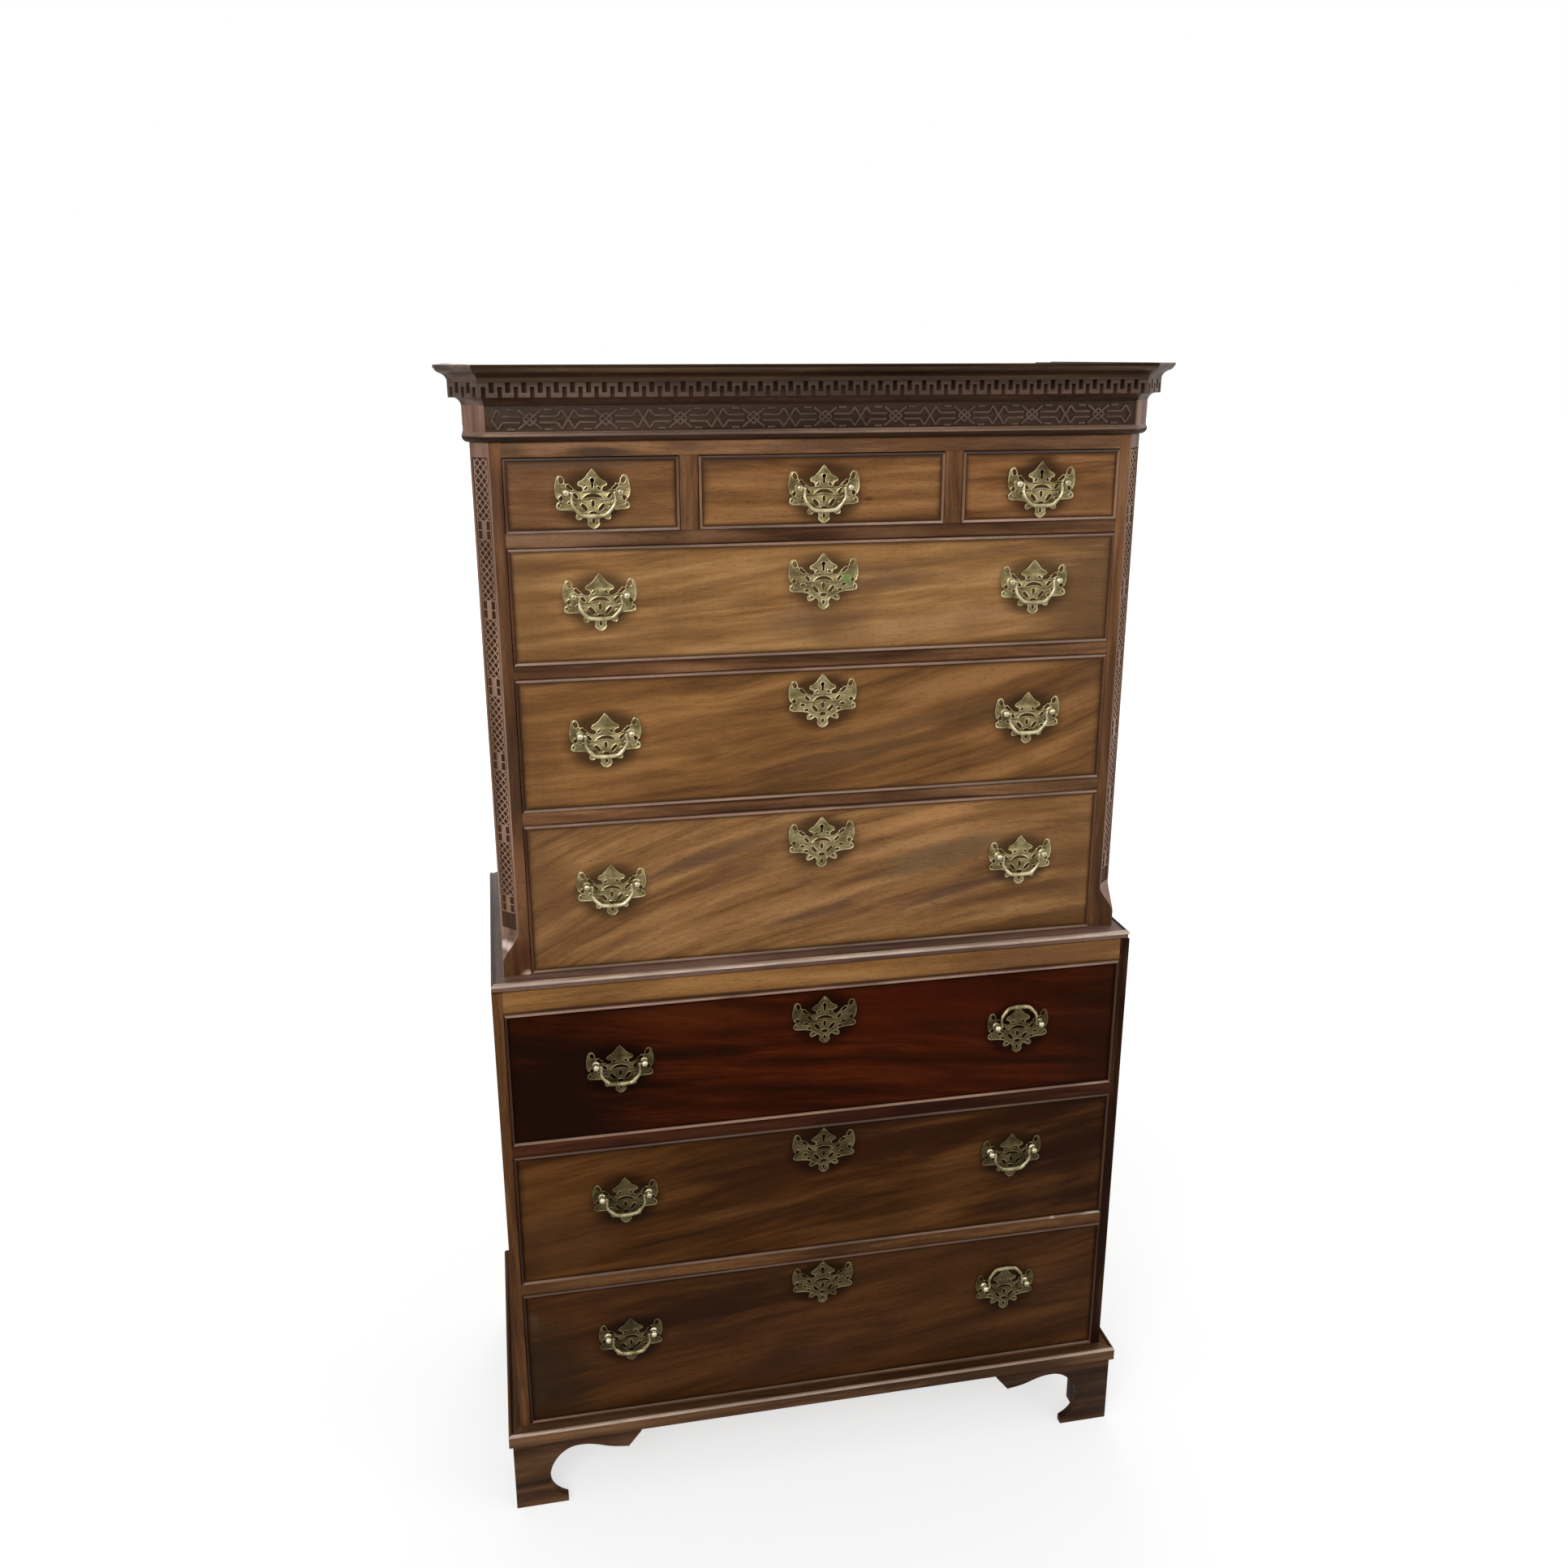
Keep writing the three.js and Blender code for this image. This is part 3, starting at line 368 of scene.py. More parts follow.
red_rail_wood = wood("red_rail_wood", ((40, 17, 8), (62, 31, 17), (86, 48, 28)),
                     grime=0.2, seed=2.9, gleam=0.04)
side_wood = wood("side_wood", ((38, 20, 10), (62, 36, 19), (88, 54, 30)),
                 grain=along_z, figure=0.7, tilt=0.2, seed=3.7, gleam=0.05)
# corner_wood: its patch is a painted highlight on the hollow of the left lamb's tongue.
corner_wood = wood("corner_wood", faded_colours, grain=along_z, figure=0.3, seed=4.4,
                   gleam=0.4, gloss=0.36, patches=[(-488, 1017, 18, 7, (230, 204, 192), 0.95)])
# The sunk field behind the corner fret is painted dark, as shade in the recess.
recess_shade_wood = wood("recess_shade_wood", ((48, 31, 21), (68, 46, 33), (90, 65, 49)),
                   grain=along_z, figure=0.2, seed=4.8, gleam=0.05)
# golden_wood: its last patch is a line of painted shadow along the bottom edge of the rail, above
# the top drawer.
golden_wood = wood("golden_wood", ((104, 68, 34), (132, 92, 50), (156, 112, 66)),
                   seed=5.2, figure=0.4, patches=[
                       (420, 938, 200, 40, (104, 70, 42), 0.7),
                       (0, 919, 800, 3, (46, 24, 13), 0.85)])
inside_wood = dry_wood("inside_wood", (92, 68, 46), (142, 112, 80), grain=along_y)
inside_side_wood = dry_wood("inside_side_wood", (84, 58, 40), (126, 94, 66),
                            grain=along_z, seed=2)
back_pine = dry_wood("back_pine", (94, 70, 46), (146, 114, 78), grain=along_z, seed=4)
box_oak = dry_wood("box_oak", (118, 88, 58), (172, 138, 98), seed=6)
box_side_oak = dry_wood("box_side_oak", (118, 88, 58), (172, 138, 98),
                        grain=along_y, seed=7)
print("case woods:", upright_wood.name, rail_wood.name, side_wood.name)

# %% [markdown]
# ## Pieces that ride on the model
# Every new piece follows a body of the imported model, so that a drawer takes its handles along.
# Modelling in millimetres keeps the numbers as a maker would say them, and one function turns a
# finished bmesh into an object in metres on its body.

# %% Turning a bmesh into a piece
hands = ((-1, "left"), (1, "right"))


def mesh_of(bm, name):
    mesh = bpy.data.meshes.new(name)
    bm.to_mesh(mesh)
    bm.free()
    return mesh


def carry(bm, matrix):
    bmesh.ops.transform(bm, matrix=matrix, verts=bm.verts)


def make_piece(name, bm, finishes, body="chest", replaces=(), crease=30):
    carry(bm, Matrix.Diagonal((mm, mm, mm, 1)))
    bmesh.ops.recalc_face_normals(bm, faces=bm.faces)
    mesh = mesh_of(bm, name)
    for material in finishes:
        mesh.materials.append(material)
    mesh.shade_smooth()
    mesh.set_sharp_from_angle(angle=math.radians(crease))
    made = linked(name, mesh)
    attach(made, body)
    if replaces:
        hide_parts(*replaces)


def named(start):
    """The nodes whose names begin in this way, each with the rest of its name."""
    return [(name, name[len(start):]) for name in sorted(nodes) if name.startswith(start)]


def box_of(node):
    low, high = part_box(node)
    return low / mm, high / mm


def add_board(bm, low, high, edge=0.7, slot_of=lambda normal: 0):
    """A board between two corners with softened edges. slot_of picks the material of a face."""
    low, high = Vector(low), Vector(high)
    made = bmesh.ops.create_cube(bm, size=1)["verts"]
    bmesh.ops.scale(bm, vec=high - low, verts=made)
    bmesh.ops.translate(bm, vec=(low + high) / 2, verts=made)
    bm.normal_update()
    for face in {face for vert in made for face in vert.link_faces}:
        face.material_index = slot_of(face.normal)
    edges = list({side for vert in made for side in vert.link_edges})
    bmesh.ops.bevel(bm, geom=edges, offset=edge, affect="EDGES", segments=2, profile=0.5,
                    material=-1)


def add_span(bm, half, front, back, low, high, **more):
    """A board that reaches as far to the left as to the right of the middle."""
    add_board(bm, (-half, front, low), (half, back, high), **more)


def add_peg(bm, place, foot, head, length, sides):
    """A tapered peg that points at the viewer or away, with its radii at both ends."""
    made = bmesh.ops.create_cone(bm, cap_ends=True, segments=sides, radius1=foot, radius2=head,
                                 depth=length)
    bmesh.ops.transform(bm, matrix=moved(*place) @ turned_about("X", -math.pi / 2),
                        verts=made["verts"])


def add_turned(bm, part, matrix):
    """A copy of a part added in another place; returns its faces."""
    mesh = bpy.data.meshes.new("part")
    part.to_mesh(mesh)
    mesh.transform(matrix)
    before = set(bm.faces)
    bm.from_mesh(mesh)
    bpy.data.meshes.remove(mesh)
    return [face for face in bm.faces if face not in before]


lower_low, lower_high = box_of("lower_carcass")
upper_low, upper_high = box_of("upper_carcass")
lower_front, upper_front, back_y = lower_low.y, upper_low.y, lower_high.y
lower_half, upper_half = lower_high.x, upper_high.x
drawers = {label: box_of(node) for node, label in named("drawer_")}
print("drawers:", len(drawers), "case fronts at", round(lower_front, 1), round(upper_front, 1))

# %% [markdown]
# ## The lower case
# A case is boards: two sides, a rail and a dust board between each pair of drawers, a top and a
# bottom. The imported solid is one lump, which can have only one direction of grain. Building the
# boards again, each with softened edges, gives the joints and lets the grain turn.

# %% Lower case
side_gap, top_gap, floor_gap, panel_gap = 1.0, 1.0, 0.3, 10.3
rail_depth, dust_thick, board_thick, top_rail_thick = 48, 11, 18, 20
front_thick, stop_wide, stop_deep, stop_high = 20, 36, 14, 5
lower_inner = drawers["lower_bottom"][1].x + side_gap
panel_y = back_y - panel_gap


def floors_and_roofs(labels):
    """The floor and the roof of each drawer's opening, from the bottom up."""
    return [(drawers[label][0].z - floor_gap, drawers[label][1].z + top_gap) for label in labels]


lower_rows = floors_and_roofs(["lower_bottom", "lower_middle", "lower_top"])
lower_floor, lower_roof = lower_rows[0][0], lower_rows[-1][1]
sides, rails, top_rail, dust_boards = (bmesh.new() for _ in range(4))
for sign, _ in hands:
    x_low, x_high = sorted((sign * lower_inner, sign * lower_half))
    add_board(sides, (x_low, lower_front, lower_low.z), (x_high, back_y, lower_high.z),
              slot_of=lambda normal: 1 if normal.x * sign < -0.5 else 2 if normal.y < -0.5 else 0)

rail_back, top_rail_back = lower_front + rail_depth, lower_front + top_rail_thick
for number, ((_, roof), (floor, _)) in enumerate(zip(lower_rows, lower_rows[1:])):
    add_span(rails, lower_inner, lower_front, rail_back, roof, floor,
             slot_of=lambda normal: number)
    add_span(dust_boards, lower_inner, rail_back, panel_y, floor - dust_thick, floor)
add_span(rails, lower_inner, lower_front, rail_back, lower_low.z, lower_floor)
add_span(dust_boards, lower_inner, rail_back, panel_y, lower_floor - board_thick, lower_floor)
add_span(top_rail, lower_inner, lower_front, top_rail_back, lower_roof, lower_high.z)
add_span(dust_boards, lower_inner, top_rail_back, panel_y,
         lower_high.z - board_thick, lower_high.z)


def add_stops(bm, centre, width, front, floor):
    """Two small blocks that halt a drawer by the back of its front."""
    for share in (-0.25, 0.25):
        x, y = centre + share * width, front + front_thick + 0.3
        add_board(bm, (x - stop_wide / 2, y, floor - 0.3),
                  (x + stop_wide / 2, y + stop_deep, floor + stop_high))


for floor, _ in lower_rows:
    add_stops(dust_boards, 0, 2 * lower_inner, lower_front, floor)
make_piece("lower_sides", sides, [side_wood, inside_side_wood, low_upright_wood],
           replaces=["lower_carcass"])
make_piece("lower_rails", rails, [low_rail_wood, red_rail_wood])
make_piece("lower_top_rail", top_rail, [golden_wood])
make_piece("lower_dust_boards", dust_boards, [inside_wood])
print("lower case floors:", [round(floor, 1) for floor, _ in lower_rows])

# %% [markdown]
# ## The canted corners of the upper case
# The corners are cut off at 45 degrees, and the cut runs out above the waist in a lamb's
# tongue. Five points of the post's plan are carried upwards and moved at each height: the two
# at the corner start together and part as the cut gets deeper. The sunk field for the fret is
# an inset pushed back into the cut face.

# %% Corner posts
cant, sharp, tongue_top, tongue_height, tongue_steps = 25.9, 0.4, 66, 42, 16
recess_margin, recess_depth, recess_foot, recess_drop, post_depth = 4.8, 1.8, 74, 21.5, 45
upper_inner = drawers["upper_bottom"][1].x + side_gap
post_back = upper_front + post_depth
upper_rows = floors_and_roofs(["upper_bottom", "upper_middle", "upper_top", "short_middle"])
frieze_low, frieze_high = box_of("frieze")
tongue_z = upper_rows[0][0] + tongue_top
recess_low, recess_high = upper_rows[0][0] + recess_foot, frieze_low.z - recess_drop


def tongue_stations():
    """The heights at which the post's plan changes, with the length of the cut at each."""
    stations = [(upper_low.z, sharp), (tongue_z - tongue_height, sharp)]
    for step in range(1, tongue_steps + 1):
        t = step / tongue_steps
        curled = 3 * t ** 2 - 2 * t ** 3
        stations.append((tongue_z - tongue_height * (1 - t),
                         max(sharp, cant * (0.7 * t + 0.3 * curled))))
    return stations + [(z, cant) for z in (
        recess_low - recess_margin, recess_high + recess_margin, upper_high.z)]


def post_plan(cut):
    """The right post seen from above, with this much cut off its outer corner."""
    return [(upper_inner, upper_front), (upper_half - cut, upper_front),
            (upper_half, upper_front + cut), (upper_half, post_back), (upper_inner, post_back)]


def add_post(bm, sign):
    (foot, foot_cut), *stations = tongue_stations()
    face = bm.faces.new([bm.verts.new((sign * x, y, foot)) for x, y in post_plan(foot_cut)])
    for z, cut in stations:
        made = bmesh.ops.extrude_discrete_faces(bm, faces=[face])["faces"]
        face = made[0]
        for vert, (x, y) in zip(face.verts, post_plan(cut)):
            vert.co = (sign * x, y, z)
        walls = {near for side in face.edges for near in side.link_faces if near is not face}
        for wall in walls:
            middle = wall.calc_center_median()
            on_cut = abs(middle.x) - middle.y > upper_inner - upper_front + 1 and \
                abs(middle.x) < upper_half - 0.01 and middle.y > upper_front + 0.01
            wall.material_index = 1 if on_cut and middle.y < upper_front + cant else 0
            if z == recess_high + recess_margin and wall.material_index == 1:
                field = wall
    bmesh.ops.holes_fill(bm, edges=bm.edges, sides=0)
    bmesh.ops.recalc_face_normals(bm, faces=bm.faces)
    bmesh.ops.inset_individual(bm, faces=[field], thickness=recess_margin)
    sunk = bmesh.ops.extrude_discrete_faces(bm, faces=[field])["faces"][0]
    # The sunk field takes the third finish, painted dark as shade in the recess.
    sunk.material_index = 2
    bmesh.ops.translate(bm, vec=sunk.normal * -recess_depth, verts=sunk.verts)


for sign, name in hands:
    post = bmesh.new()
    add_post(post, sign)
    make_piece("post_" + name, post, [upright_wood, corner_wood, recess_shade_wood],
               replaces=["upper_carcass"] if name == "left" else (), crease=24)
print("tongue ends at", round(tongue_z - tongue_height, 1), "recess up to", round(recess_high, 1))

# %% [markdown]
# ## The upper case
# Behind the posts the upper case is made as the lower one is, with guides beside its narrower
# drawers and two short partitions in its top row, flush with the rails.

# %% Upper case
guide_high = 20
part_edges = [drawers["short_left"][1].x + side_gap, drawers["short_middle"][0].x - side_gap]
upper_floor, upper_roof = upper_rows[0][0], upper_rows[-1][1]
inside_half = upper_half - board_thick
rail_back, top_rail_back = upper_front + rail_depth, upper_front + top_rail_thick
upper_sides, rails, partitions, dust_boards = (bmesh.new() for _ in range(4))
for sign, _ in hands:
    x_low, x_high = sorted((sign * inside_half, sign * upper_half))
    add_board(upper_sides, (x_low, post_back, upper_low.z), (x_high, back_y, upper_high.z),
              slot_of=lambda normal: 1 if normal.x * sign < -0.5 else 0)
    x_low, x_high = sorted(sign * edge for edge in part_edges)
    floor, roof = upper_rows[-1]
    add_board(partitions, (x_low, upper_front, floor), (x_high, rail_back, roof))
    add_board(dust_boards, (x_low, rail_back, floor), (x_high, panel_y, floor + guide_high))
    x_low, x_high = sorted((sign * upper_inner, sign * inside_half))
    for floor, _ in upper_rows:
        add_board(dust_boards, (x_low, post_back, floor), (x_high, panel_y, floor + guide_high))
for (_, roof), (floor, _) in zip(upper_rows, upper_rows[1:]):
    add_span(rails, upper_inner, upper_front, rail_back, roof, floor)
    add_span(dust_boards, inside_half, rail_back, panel_y, floor - dust_thick, floor)
add_span(rails, upper_inner, upper_front, rail_back, upper_roof, frieze_low.z)
add_span(rails, upper_inner, upper_front, top_rail_back, frieze_low.z + 0.2, upper_high.z)
add_span(dust_boards, inside_half, top_rail_back, panel_y,
         upper_high.z - board_thick, upper_high.z)
add_span(dust_boards, upper_inner, upper_front, panel_y, upper_low.z, upper_floor)
for floor, _ in upper_rows[:-1]:
    add_stops(dust_boards, 0, 2 * upper_inner, upper_front, floor)
for label in ("left", "middle", "right"):
    low, high = drawers["short_" + label]
    add_stops(dust_boards, (low.x + high.x) / 2, high.x - low.x, upper_front, upper_rows[-1][0])
make_piece("upper_sides", upper_sides, [side_wood, inside_side_wood])
make_piece("upper_rails", rails, [rail_wood])
make_piece("upper_partitions", partitions, [upright_wood])
make_piece("upper_dust_boards", dust_boards, [inside_wood])
print("upper case floors:", [round(floor, 1) for floor, _ in upper_rows])

# %% [markdown]
# ## The backs
# The backs are rough vertical boards, cut apart and nailed on with three rows of nails, because
# the back of a chest is where its age is read.

# %% Back boards
plank_count, plank_gap, nail_inset = 4, 1.2, 9
nail_iron = Finish("nail_iron", {"Metallic": 0.6})
rust = nail_iron.noise(nail_iron.object_place(), (300, 300, 300))
nail_iron.shade(Base_Color=nail_iron.mixed(rust, paint(48, 40, 36), paint(104, 62, 38)),
                Roughness=rust * 0.3 + 0.5)
for case in ("lower", "upper"):
    low, high = box_of(case + "_back")
    width = (high.x - low.x) / plank_count
    planks, nails = bmesh.new(), bmesh.new()
    for number in range(plank_count):
        x_low = low.x + number * width
        gap_left = plank_gap if number else 0
        gap_right = plank_gap if number < plank_count - 1 else 0
        add_board(planks, (x_low + gap_left, low.y + 0.3, low.z),
                  (x_low + width - gap_right, high.y - 0.8, high.z), edge=1.2)
        for share in (0.15, 0.5, 0.85):
            for z in (low.z + nail_inset, high.z - nail_inset, (low.z + high.z) / 2):
                add_peg(nails, (x_low + share * width, back_y - 0.5, z), 3.4, 2.4, 0.8, 8)
    add_board(planks, (low.x + 0.5, low.y, low.z + 0.5), (high.x - 0.5, low.y + 4, high.z - 0.5))
    make_piece(case + "_back_boards", planks, [back_pine], replaces=[case + "_back"])
    make_piece(case + "_nails", nails, [nail_iron.material], crease=50)
print("backs nailed")

# %% [markdown]
# ## Drawer fronts
# Each front is a board with a bead round its rim, a rounded strip that stands a little proud.
# The fine shadow between the two draws the drawer's outline. Both are flat curves with a
# thickness: the board's has the keyhole in it, and the bead's is a frame with a round edge.

# %% Drawer woods
drawer_colours = {
    "lower_bottom": ((54, 31, 14), (71, 42, 20), (86, 54, 28)),
    "lower_middle": ((49, 27, 9), (73, 43, 17), (96, 60, 28)),
    "lower_top": ((38, 13, 3), (57, 19, 4), (76, 30, 9)),
    "upper_bottom": ((100, 68, 38), (138, 98, 58), (162, 120, 76)),
    "upper_middle": ((92, 60, 31), (124, 84, 45), (150, 106, 62)),
    "upper_top": ((114, 79, 44), (151, 109, 65), (176, 134, 86)),
    "short_left": ((88, 56, 31), (120, 82, 48), (148, 106, 68)),
    "short_middle": ((92, 60, 32), (129, 88, 50), (154, 110, 68)),
    "short_right": ((98, 63, 34), (139, 95, 56), (164, 118, 75)),
}
purple, ash = (88, 60, 46), (116, 92, 66)
drawer_figures = {
    "lower_bottom": {"gleam": 0.03, "tilt": 0.13},
    "lower_middle": {"gleam": 0.03, "tilt": 0.12},
    "lower_top": {"gleam": 0.02, "tilt": -0.12},
    "upper_bottom": {"tilt": 0.25, "bow": 0.26, "figure": 0.8, "figured_with": (98, 66, 42)},
    "upper_middle": {"tilt": 0.2, "bow": -0.14, "figure": 0.6},
    "upper_top": {"tilt": 0.08, "figure": 0.5}}
drawer_patches = {
    "lower_bottom": [
        (-488, 198, 8, 20, (90, 68, 50), 0.4), (-486, 44, 9, 12, (92, 72, 62), 0.5),
        (-170, 190, 170, 42, (44, 24, 12), 0.85), (-470, 70, 70, 130, (48, 33, 20), 0.8),
        (250, 190, 190, 40, (60, 33, 13), 0.5), (-60, 60, 90, 30, (74, 44, 34), 0.5)],
    "lower_middle": [
        (440, 110, 160, 190, (38, 17, 6), 0.9), (120, 190, 260, 60, (46, 20, 7), 0.85),
        (-80, 130, 130, 50, (54, 27, 10), 0.6), (-440, 80, 80, 60, (92, 60, 34), 0.5)],
    "lower_top": [
        (-440, 80, 190, 170, (28, 11, 4), 0.95), (-300, 140, 190, 14, (26, 11, 4), 0.85),
        (-200, 190, 130, 26, (78, 34, 12), 0.6), (180, 180, 200, 50, (66, 20, 4), 0.6),
        (490, 100, 90, 170, (40, 17, 7), 0.7)],
    "upper_bottom": [
        (-170, 172, 130, 13, purple, 0.7), (228, 84, 150, 12, purple, 0.75),
        (-6, 66, 80, 11, purple, 0.6), (200, 145, 130, 20, ash, 0.6),
        (175, 212, 130, 15, (178, 126, 78), 0.7), (430, 100, 50, 110, (112, 78, 46), 0.5),
        (-430, 150, 50, 80, (110, 74, 44), 0.8)],
    "upper_middle": [
        (170, 110, 190, 12, (98, 70, 44), 0.6), (330, 120, 150, 10, (94, 66, 42), 0.5),
        (60, 60, 130, 11, (100, 72, 46), 0.6), (-440, 90, 40, 110, (102, 68, 38), 0.5),
        (260, 170, 150, 18, (156, 112, 68), 0.7), (440, 100, 36, 120, (98, 68, 43), 0.25)],
    "upper_top": [
        (115, 108, 80, 20, (102, 74, 52), 0.75), (430, 90, 110, 130, (98, 68, 42), 0.85),
        (-440, 90, 60, 120, (108, 72, 40), 0.6), (240, 142, 150, 10, (112, 80, 50), 0.5),
        (-20, 46, 66, 24, (116, 86, 62), 0.6), (180, 40, 150, 16, (172, 130, 88), 0.6)],
    "short_left": [(-420, 50, 60, 60, (100, 68, 42), 0.6), (-340, 94, 90, 7, (94, 72, 56), 0.8)],
    "short_middle": [(68, 38, 7, 4, (84, 46, 26), 0.8)],
    "short_right": [(338, 86, 24, 14, (48, 26, 14), 0.75)]}
bead_members = ("top", "left", "bottom", "right")
# The four sides of each bead get their own tones, which are painted light and shade on top of the
# bead's colour: lighter on the lit bottoms and on the tops of the upper long drawers, darker on
# the uprights of the long drawers and on the tops of the lower and short drawers.
bead_tones = {
    "lower": ((84, 56, 40), (62, 38, 24), (132, 102, 82), (68, 44, 31)),
    "upper": ((140, 107, 88), (80, 49, 31), (150, 120, 100), (92, 61, 43)),
    "short": ((64, 43, 32), (128, 96, 74), (146, 115, 96), (138, 104, 82))}
# The first mark, a light strip along the top bead of the top lower drawer, is a painted highlight.
bead_marks = {
    ("lower", "top"): [(0, 915, 800, 6, (160, 124, 105), 0.9)],
    ("lower", "bottom"): [
        (486, 433, 16, 4, (205, 185, 170), 0.9), (412, 433, 5, 4, (205, 185, 170), 0.9),
        (465, 690, 28, 4, (180, 158, 146), 0.9), (0, 160, 800, 6, (98, 70, 54), 0.9)],
    ("short", "left"): [(-457, 1694, 9, 80, (76, 48, 32), 0.95)]}


def bead_wood(case, member, tone):
    lying = member in ("top", "bottom")
    return wood("bead_wood_" + case + "_" + member, tone, figure=0.2, seed=8.3, gloss=0.38,
                grime=0.4, gleam=0.4 if lying else 0.1, grain=along_x if lying else along_z,
                patches=bead_marks.get((case, member), ()))


bead_kinds = {case: [bead_wood(case, *member) for member in zip(bead_members, tones)]
              for case, tones in bead_tones.items()}
# The dark finish seen through each keyhole is painted shade.
keyhole_shade = Finish("keyhole_shade", {"Roughness": 1.0}).shade(Base_Color=paint(12, 8, 6))

# %% Drawer fronts and beads
bead_width, bead_proud, bead_line = 4, 2.8, 0.35
face_thick, side_thick, lap = 9, 9, 9.1
bead_round, bead_root, core_inset = 1.7, 1.8, 0.15
keyhole_radius, keyhole_slot, key_drop = 3.1, 10.5, 16
handles = {"corner": "VECTOR", "smooth": "AUTO"}


def drawn_solid(data):
    """What a curve draws, with its doubled points joined."""
    drawn = linked("drawn", data)
    mesh = bpy.data.meshes.new_from_object(
        drawn.evaluated_get(bpy.context.evaluated_depsgraph_get()))
    bpy.data.objects.remove(drawn)
    solid = bmesh.new()
    solid.from_mesh(mesh)
    bpy.data.meshes.remove(mesh)
    bmesh.ops.remove_doubles(solid, verts=solid.verts, dist=0.002)
    return solid


def board_from_curves(paths, thick, edge, resolution=6):
    """A board sawn from flat outlines, the first round the others, standing in the XZ plane
    from y = 0 towards the viewer. An outline is a list of (x, z, kind), and its kinds are
    "corner" for a sharp point and "smooth" for a round one."""
    data = bpy.data.curves.new("outline", "CURVE")
    data.dimensions = "2D"
    data.fill_mode = "BOTH"
    data.resolution_u = resolution
    data.extrude = thick / 2 - edge
    data.bevel_depth = edge
    data.bevel_resolution = 1
    data.offset = -edge
    for path in paths:
        spline = data.splines.new("BEZIER")
        spline.bezier_points.add(len(path) - 1)
        spline.use_cyclic_u = True
        for point, (x, z, kind) in zip(spline.bezier_points, path):
            point.co = (x, z, 0)
            point.handle_left_type = point.handle_right_type = handles[kind]
    board = drawn_solid(data)
    carry(board, moved(0, -thick / 2, 0) @ turned_about("X", math.pi / 2))
    return board


def corners(*points):
    return [(x, z, "corner") for x, z in points]


def rounded(*points):
    return [(x, z, "smooth") for x, z in points]


def keyhole_path(x, z):
    radius, slot = keyhole_radius, keyhole_radius / 2
    return [*corners((x - slot, z - keyhole_slot), (x + slot, z - keyhole_slot),
                     (x + slot, z - radius)),
            *rounded((x + radius, z), (x, z + radius), (x - radius, z)),
            *corners((x - slot, z - radius))]


def ring_path(low, high, inset):
    return corners((low.x + inset, low.z + inset), (high.x - inset, low.z + inset),
                   (high.x - inset, high.z - inset), (low.x + inset, high.z - inset))


def bead_member(face, low, high):
    """The number in bead_members of the side of the frame on which a face lies."""
    middle = face.calc_center_median()
    away = [high.z - middle.z, middle.x - low.x, middle.z - low.z, high.x - middle.x]
    return away.index(min(away))


def plates_on(label):
    """The middles of the plates on a drawer."""
    if label.startswith("short"):
        names = ["plate_" + label]
    else:
        names = ["plate_" + label + "_left", "plate_" + label + "_right", "escutcheon_" + label]
    return [((low.x + high.x) / 2, (low.z + high.z) / 2) for low, high in map(box_of, names)]


def key_height(label):
    """The middle of a drawer's keyhole, below the crest of the plate it belongs to."""
    node = "plate_" + label if label.startswith("short") else "escutcheon_" + label
    return box_of(node)[1].z - key_drop


for label, (low, high) in drawers.items():
    body, inset = "drawer_" + label, bead_width + bead_line
    x, front = (low.x + high.x) / 2, low.y + bead_proud
    patches = [(px, low.z + up, *rest) for px, up, *rest in drawer_patches[label]]
    finish = wood("front_wood_" + label, drawer_colours[label],
                  seed=len(label) + high.z / 300 + x / 90,
                  edges=(low.x, high.x, low.z, high.z), patches=patches,
                  dark_halo_middles=plates_on(label), **drawer_figures.get(label, {}))
    face = board_from_curves([ring_path(low, high, inset), keyhole_path(x, key_height(label))],
                             face_thick, 0.3)
    carry(face, moved(0, front + face_thick, 0))
    make_piece("front_" + label, face, [finish], body, replaces=[body])

    core = bmesh.new()
    add_board(core, (low.x + core_inset, front + face_thick + 0.02, low.z),
              (high.x - core_inset, front + front_thick, high.z), edge=0.4)
    # A dark sheet behind the face board shows through the keyhole as painted shade.
    add_board(core, (low.x + inset, front + face_thick - 0.5, low.z + inset),
              (high.x - inset, front + face_thick + 0.4, high.z - inset),
              edge=0.1, slot_of=lambda normal: 1)
    make_piece("core_" + label, core, [box_oak, keyhole_shade], body)

    bead = board_from_curves([ring_path(low, high, 0), ring_path(low, high, bead_width)],
                             face_thick + bead_proud + bead_root, bead_round)
    carry(bead, moved(0, front + face_thick + bead_root, 0))
    for part in bead.faces:
        part.material_index = bead_member(part, low, high)
    make_piece("bead_" + label, bead, bead_kinds[label.split("_")[0]], body,
               crease=50)
print("fronts:", ", ".join(drawers))

# %% [markdown]
# ## Drawer boxes
# Behind the front there are thin oak sides, a back and a bottom. The sides meet the front in
# dovetails, which show as soon as a drawer is opened. The tails are cut in the outline of the
# side itself, and the front is made a hair narrower, so that they show against it.

# %% Drawer boxes
side_drop, back_drop, bottom_lift, bottom_thick, tail_pitch = 9, 16, 8.5, 7, 42


def side_path(front, back, floor, top):
    """The outline of a drawer side as (y, z), with tails into the front."""
    tails = max(2, round((top - floor) / tail_pitch))
    pitch = (top - floor) / tails
    root, tip = front + front_thick, front + lap
    points = []
    for number in range(tails):
        middle = floor + (number + 0.5) * pitch
        points += [(root, middle - pitch * 0.3), (tip, middle - pitch * 0.38),
                   (tip, middle + pitch * 0.38), (root, middle + pitch * 0.3)]
    return corners((root, floor), *points, (root, top), (back, top), (back, floor))


